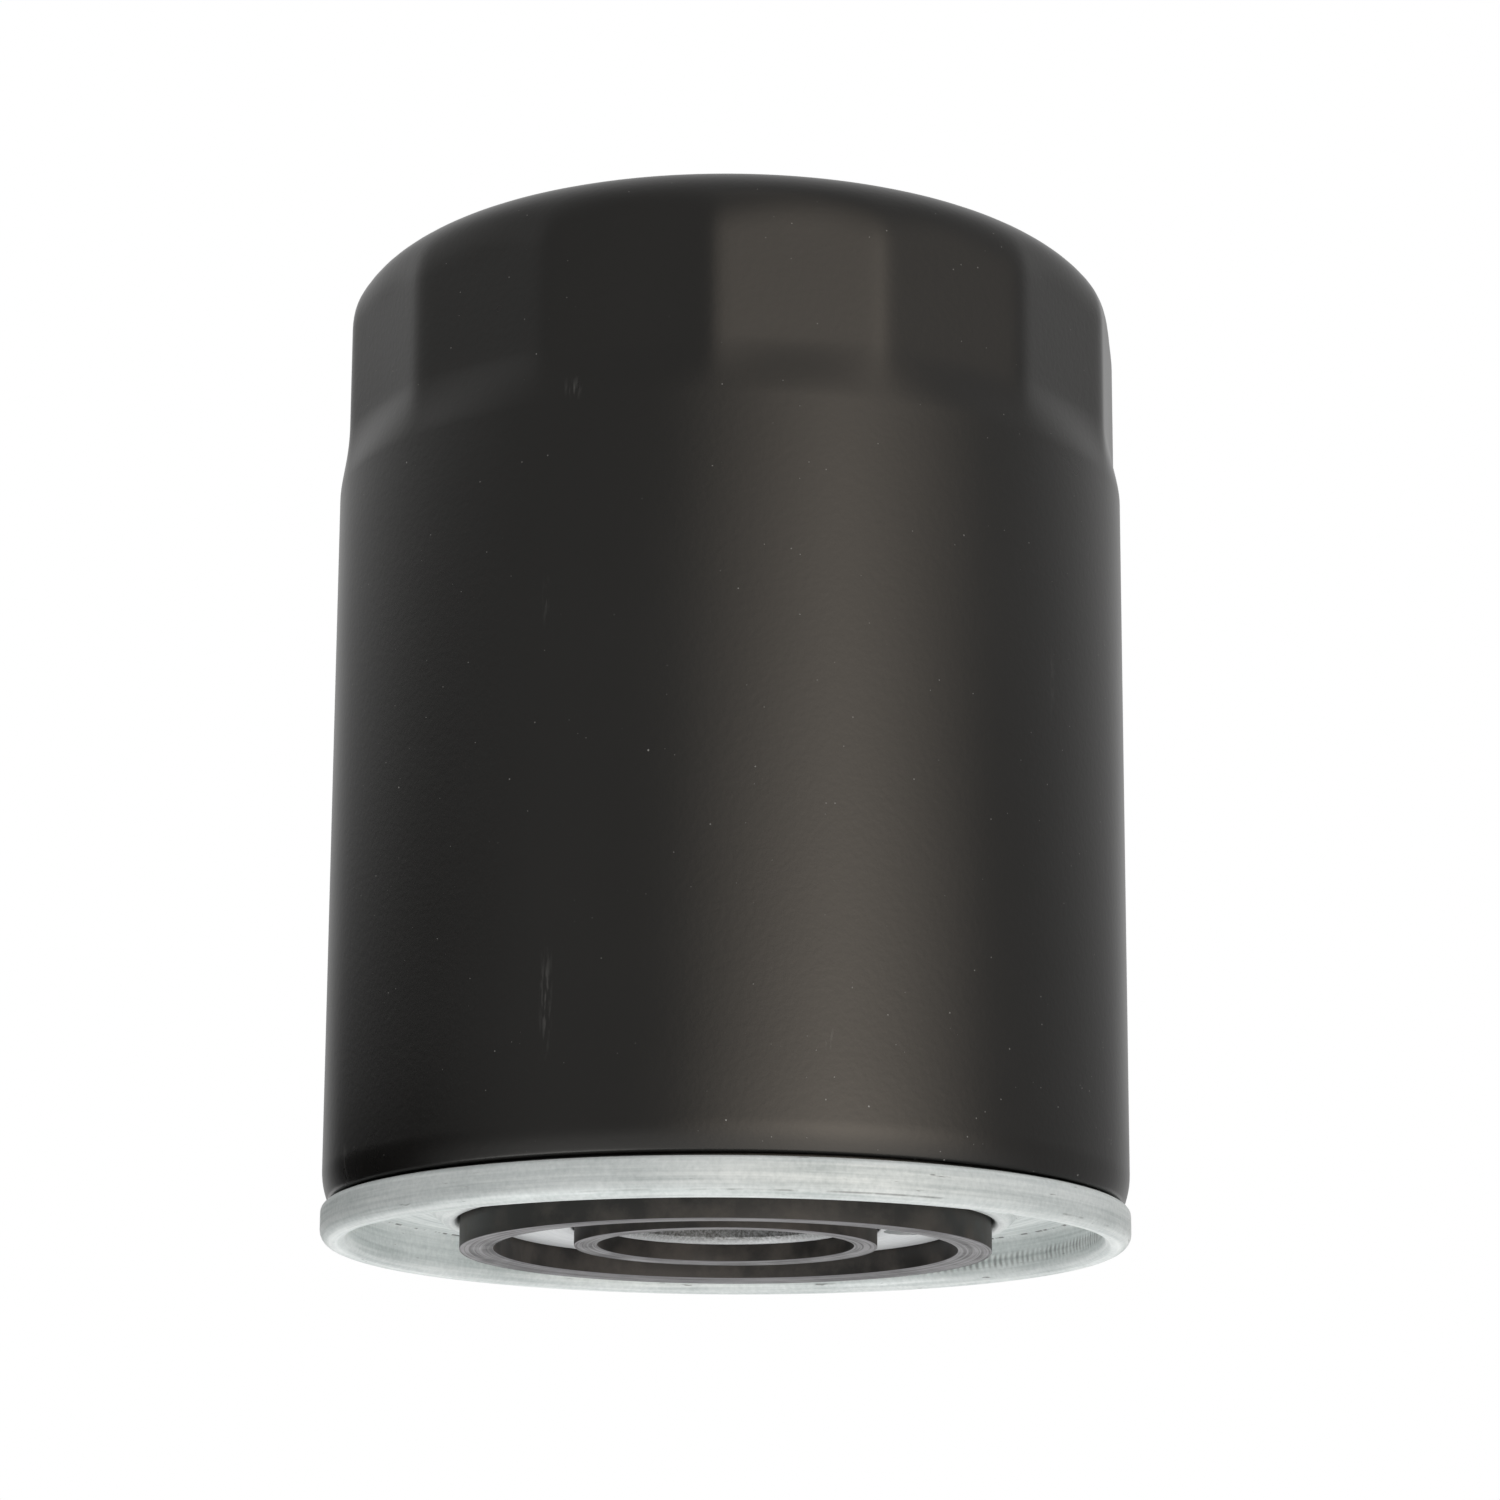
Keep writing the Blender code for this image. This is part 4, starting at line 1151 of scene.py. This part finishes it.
def cut_rubber():
    """Dusty black nitrile, paler on the sealing faces, where the knife has left round lines, with a
    painted highlight on the rounded edges of the faces.
    """
    rubber = new_finish("gasket_rubber", {"Specular IOR Level": 0.5})
    mottle = spread(rubber, grain(rubber, 150.0, 6.0, 0.65), 0.42, 0.64)
    wall = mixed(rubber, mottle, *GASKET_WALL_COLOURS)
    lines = spread(rubber, turned_marks(rubber, 1.5, 3600.0, 2.0), 0.42, 0.60)
    face = mixed(rubber, lines, *GASKET_FACE_COLOURS)
    normal = node(rubber, "TexCoord", {}).outputs["Normal"]
    upward = node(rubber, "SeparateXYZ", {0: normal}).outputs["Z"]
    colour = mixed(rubber, spread(rubber, upward, -0.5, -0.9), wall, face)
    # painted highlight: a paler colour on the rounded edges between the faces and the walls
    edge_highlight = spread(rubber, apart(rubber, upward, -0.6), 0.1, 0.35, 0.8, 0.0)
    return coat(rubber, {
        "Base Color": mixed(rubber, edge_highlight, colour, GASKET_EDGE_HIGHLIGHT),
        "Roughness": spread(rubber, mottle, 0.0, 1.0, 0.46, 0.62),
        "Normal": bumped(rubber, grain(rubber, 5200.0, 2.0), 0.03, 0.4),
    })


gasket_finish = cut_rubber()
gasket("head_gasket", "outer_gasket", GASKET_HOLE, GASKET_RADIUS)
gasket("stud_gasket", "inner_gasket", INNER_GASKET_HOLE, INNER_GASKET_RADIUS)


# Studio: a white room with a pale floor. Gloss shows it dimmer in front and on the left, with a tall warm
# key light to the right of the camera and a bright place on the floor, which lights up the rolled rim.
# Lamps in front of the filter, above it and below it light the matt surfaces.

WHITE = (1.0, 1.0, 1.0, 1.0)
FLOOR_DROP = 220.0
FLOOR_HALF = 4000.0
FLOOR_CORNERS = ((-1, -1), (1, -1), (1, 1), (-1, 1))
FLOOR_COLOUR = (0.82, 0.82, 0.81, 1.0)
ROOM_FILL = 0.47            # brightness of the room for matt surfaces
SIDE_FILL = (0.15, 0.30)    # and of its left and right
FRONT_TO_SIDE_FILL = (0.4, 1.0)     # the X of the direction where its front ends and its sides begin
FRONT_GLOSS = 0.44          # brightness of its front, as gloss shows it
LEFT_GLOSS = (0.02, 0.72)   # of its left, near the floor and higher up
RIGHT_GLOSS = (0.31, 0.62)
TOP_GLOSS = 0.36
FRONT_TO_LOW_SIDE = (-0.60, 0.05)   # the Y of the direction where the front ends and the sides begin
FRONT_TO_HIGH_SIDE = (-0.45, 0.35)
SIDE_TO_BACK = (0.80, 1.05)
LOW_TO_HIGH = (0.12, 0.35)          # and its Z where the sides are dimmest and brightest
HIGH_TO_TOP = (0.45, 0.90)
LEFT_TO_RIGHT = (-0.5, 0.5)
KEY_COLOUR = (1.0, 0.89, 0.78, 1.0)
KEY_TURN = math.radians(31.5)       # the key light, to the right of the camera
KEY_SPREAD = math.radians(46)
KEY_GLOSS = (4.0, 1.6, 0.3)         # its brightness near the floor, higher up and at the top
KEY_LOW_TO_HIGH = (0.04, 0.20)
KEY_HIGH_TO_TOP = (0.28, 0.90)
KEY_ON_FLOOR = 1.4          # its brightness on the floor below the filter
NEAR_TO_FAR = (0.45, 1.60)  # metres over which the floor in front turns from white to dim, in gloss
FLOOR_FRONT = (-0.15, 0.60)
FLOOR_FAN = 1.5             # the floor is also white to gloss in a fan behind the filter
FAN_EDGE = (-0.2, 0.3)
GLARE_PLACE = (-0.17, -0.07, -0.22)     # the brightest place on the floor, in metres
GLARE_EDGE = (0.04, 0.20)
GLARE = 3.0                 # how much brighter than the floor it is, as gloss shows it
LAMPS = (                   # place, aim and side, in metres, and power
    ("front_box", (0.50, -1.10, 0.20), (0.0, 0.0, 0.05), 0.80, 2.0),
    ("top_box", (0.30, -0.20, 1.60), (0.0, 0.0, 0.0), 1.60, 14.0),
    ("light_table", (0.0, 0.0, -0.21), (0.0, 0.0, 0.0), 0.60, 0.80),
)


def key_share(owner, angle):
    """The key light's share of brightness across its width, by the angle round from the front."""
    return spread(owner, apart(owner, angle, KEY_TURN), 0.0, KEY_SPREAD, 1.0, 0.0)


def pale_floor():
    """Bright to gloss and glass, matt to the camera, and clear from underneath."""
    values = {"Base Color": FLOOR_COLOUR, "Roughness": 0.9, "Specular IOR Level": 0.0}
    pale = new_finish("pale_floor", values)
    angle, away, _ = round_place(pale)
    x, y, _ = node(pale, "SeparateXYZ", {0: object_place(pale)}).outputs
    front = spread(pale, away, *NEAR_TO_FAR, 1.0, FRONT_GLOSS)
    side = spread(pale, x, *LEFT_TO_RIGHT, LEFT_GLOSS[0], RIGHT_GLOSS[0])
    level = spread(pale, sums(pale, "COSINE", angle), *FLOOR_FRONT, side, front)
    behind = sums(pale, "SUBTRACT", y, times(pale, sums(pale, "ABSOLUTE", x), FLOOR_FAN))
    level = spread(pale, behind, *FAN_EDGE, level, 1.0)
    from_glare = node(pale, "VectorMath", {0: object_place(pale), 1: GLARE_PLACE}, operation="DISTANCE")
    glare = spread(pale, from_glare.outputs["Value"], *GLARE_EDGE, GLARE, 0.0)
    white = node(pale, "Emission", {"Color": WHITE, "Strength": sums(pale, "ADD", level, glare)})
    key_level = spread(pale, away, *NEAR_TO_FAR, KEY_ON_FLOOR, KEY_GLOSS[0])
    key_level = times(pale, key_level, key_share(pale, angle))
    warm = node(pale, "Emission", {"Color": KEY_COLOUR, "Strength": key_level})
    glow = node(pale, "AddShader", {0: white.outputs[0], 1: warm.outputs[0]})
    rays = node(pale, "LightPath", {}).outputs
    mirrored = sums(pale, "MAXIMUM", rays["Is Glossy Ray"], rays["Is Transmission Ray"])
    matt = pale.node_tree.nodes["Principled BSDF"]
    shown = node(pale, "MixShader", {0: mirrored, 1: matt.outputs[0], 2: glow.outputs[0]})
    clear = node(pale, "BsdfTransparent", {})
    under = node(pale, "NewGeometry", {}).outputs["Backfacing"]
    both = node(pale, "MixShader", {0: under, 1: shown.outputs[0], 2: clear.outputs[0]})
    join(pale, both.outputs[0], pale.node_tree.nodes["Material Output"].inputs["Surface"])
    return pale


floor_corners = [(x * FLOOR_HALF, y * FLOOR_HALF, -FLOOR_DROP) for x, y in FLOOR_CORNERS]
floor_mesh = new_mesh(floor_corners, [(0, 1, 2, 3)])
floor_mesh.materials.append(pale_floor())
floor = put("floor", floor_mesh)

world = bpy.data.worlds.new("studio")
world.use_nodes = True
world.cycles.sampling_method = "NONE"
bpy.context.scene.world = world
way = node(world, "TexCoord", {}).outputs["Generated"]
way_x, way_y, way_z = node(world, "SeparateXYZ", {0: way}).outputs
low_side = spread(world, way_x, *LEFT_TO_RIGHT, LEFT_GLOSS[0], RIGHT_GLOSS[0])
high_side = spread(world, way_x, *LEFT_TO_RIGHT, LEFT_GLOSS[1], RIGHT_GLOSS[1])
low_wall = spread(world, way_y, *FRONT_TO_LOW_SIDE, FRONT_GLOSS, low_side)
high_wall = spread(world, way_y, *FRONT_TO_HIGH_SIDE, FRONT_GLOSS, high_side)
gloss_level = spread(world, way_z, *LOW_TO_HIGH, low_wall, high_wall)
gloss_level = spread(world, way_y, *SIDE_TO_BACK, gloss_level, 1.0)
gloss_level = spread(world, way_z, *HIGH_TO_TOP, gloss_level, TOP_GLOSS)
side_fill = spread(world, way_x, *LEFT_TO_RIGHT, *SIDE_FILL)
fill = spread(world, sums(world, "ABSOLUTE", way_x), *FRONT_TO_SIDE_FILL, ROOM_FILL, side_fill)
rays = node(world, "LightPath", {}).outputs
level = node(world, "Mix", {0: rays["Is Glossy Ray"], 2: fill, 3: gloss_level}).outputs[0]
seen = sums(world, "MAXIMUM", rays["Is Camera Ray"], rays["Is Transmission Ray"])
level = node(world, "Mix", {0: seen, 2: level, 3: 1.0}).outputs[0]
room = world.node_tree.nodes["Background"]
join(world, WHITE, room.inputs["Color"])
join(world, level, room.inputs["Strength"])

azimuth = sums(world, "ARCTAN2", way_x, times(world, way_y, -1.0))
key_level = spread(world, way_z, *KEY_LOW_TO_HIGH, *KEY_GLOSS[:2])
key_level = spread(world, way_z, *KEY_HIGH_TO_TOP, key_level, KEY_GLOSS[2])
key_level = times(world, key_level, key_share(world, azimuth), rays["Is Glossy Ray"])
key = node(world, "Background", {"Color": KEY_COLOUR, "Strength": key_level})
room_and_key = node(world, "AddShader", {0: room.outputs[0], 1: key.outputs[0]})
join(world, room_and_key.outputs[0], world.node_tree.nodes["World Output"].inputs["Surface"])

for name, place, aim, side, power in LAMPS:
    lamp_data = bpy.data.lights.new(name, "AREA")
    lamp_data.size = side
    lamp_data.energy = power
    lamp = put(name, lamp_data)
    lamp.location = place
    lamp.rotation_euler = (Vector(aim) - Vector(place)).to_track_quat("-Z", "Y").to_euler()
    lamp.visible_camera = False
    lamp.visible_glossy = False


# Camera: a long lens below the filter, looking up at it, so that the gaskets show.
# Its place, turn and lens are those from which the picture was taken.

CAMERA_PLACE = Vector((0.0, -0.595153, -0.073087))
CAMERA_PITCH = math.radians(13.43)
CAMERA_YAW = math.radians(0.281)
CAMERA_ROLL = math.radians(0.290)
CAMERA_LENS = 107.17
SENSOR_WIDTH = 36.0
CLIP_START = 0.01

camera_data = bpy.data.cameras.new("camera")
camera_data.sensor_width = SENSOR_WIDTH
camera_data.lens = CAMERA_LENS
camera_data.clip_start = CLIP_START
camera = put("camera", camera_data)
yaw = Matrix.Rotation(-CAMERA_YAW, 4, "Z")
pitch = Matrix.Rotation(math.pi / 2 + CAMERA_PITCH, 4, "X")
roll = Matrix.Rotation(CAMERA_ROLL, 4, "Z")
camera.matrix_world = Matrix.Translation(CAMERA_PLACE) @ yaw @ pitch @ roll
bpy.context.scene.camera = camera
bpy.context.scene.view_settings.view_transform = "Standard"
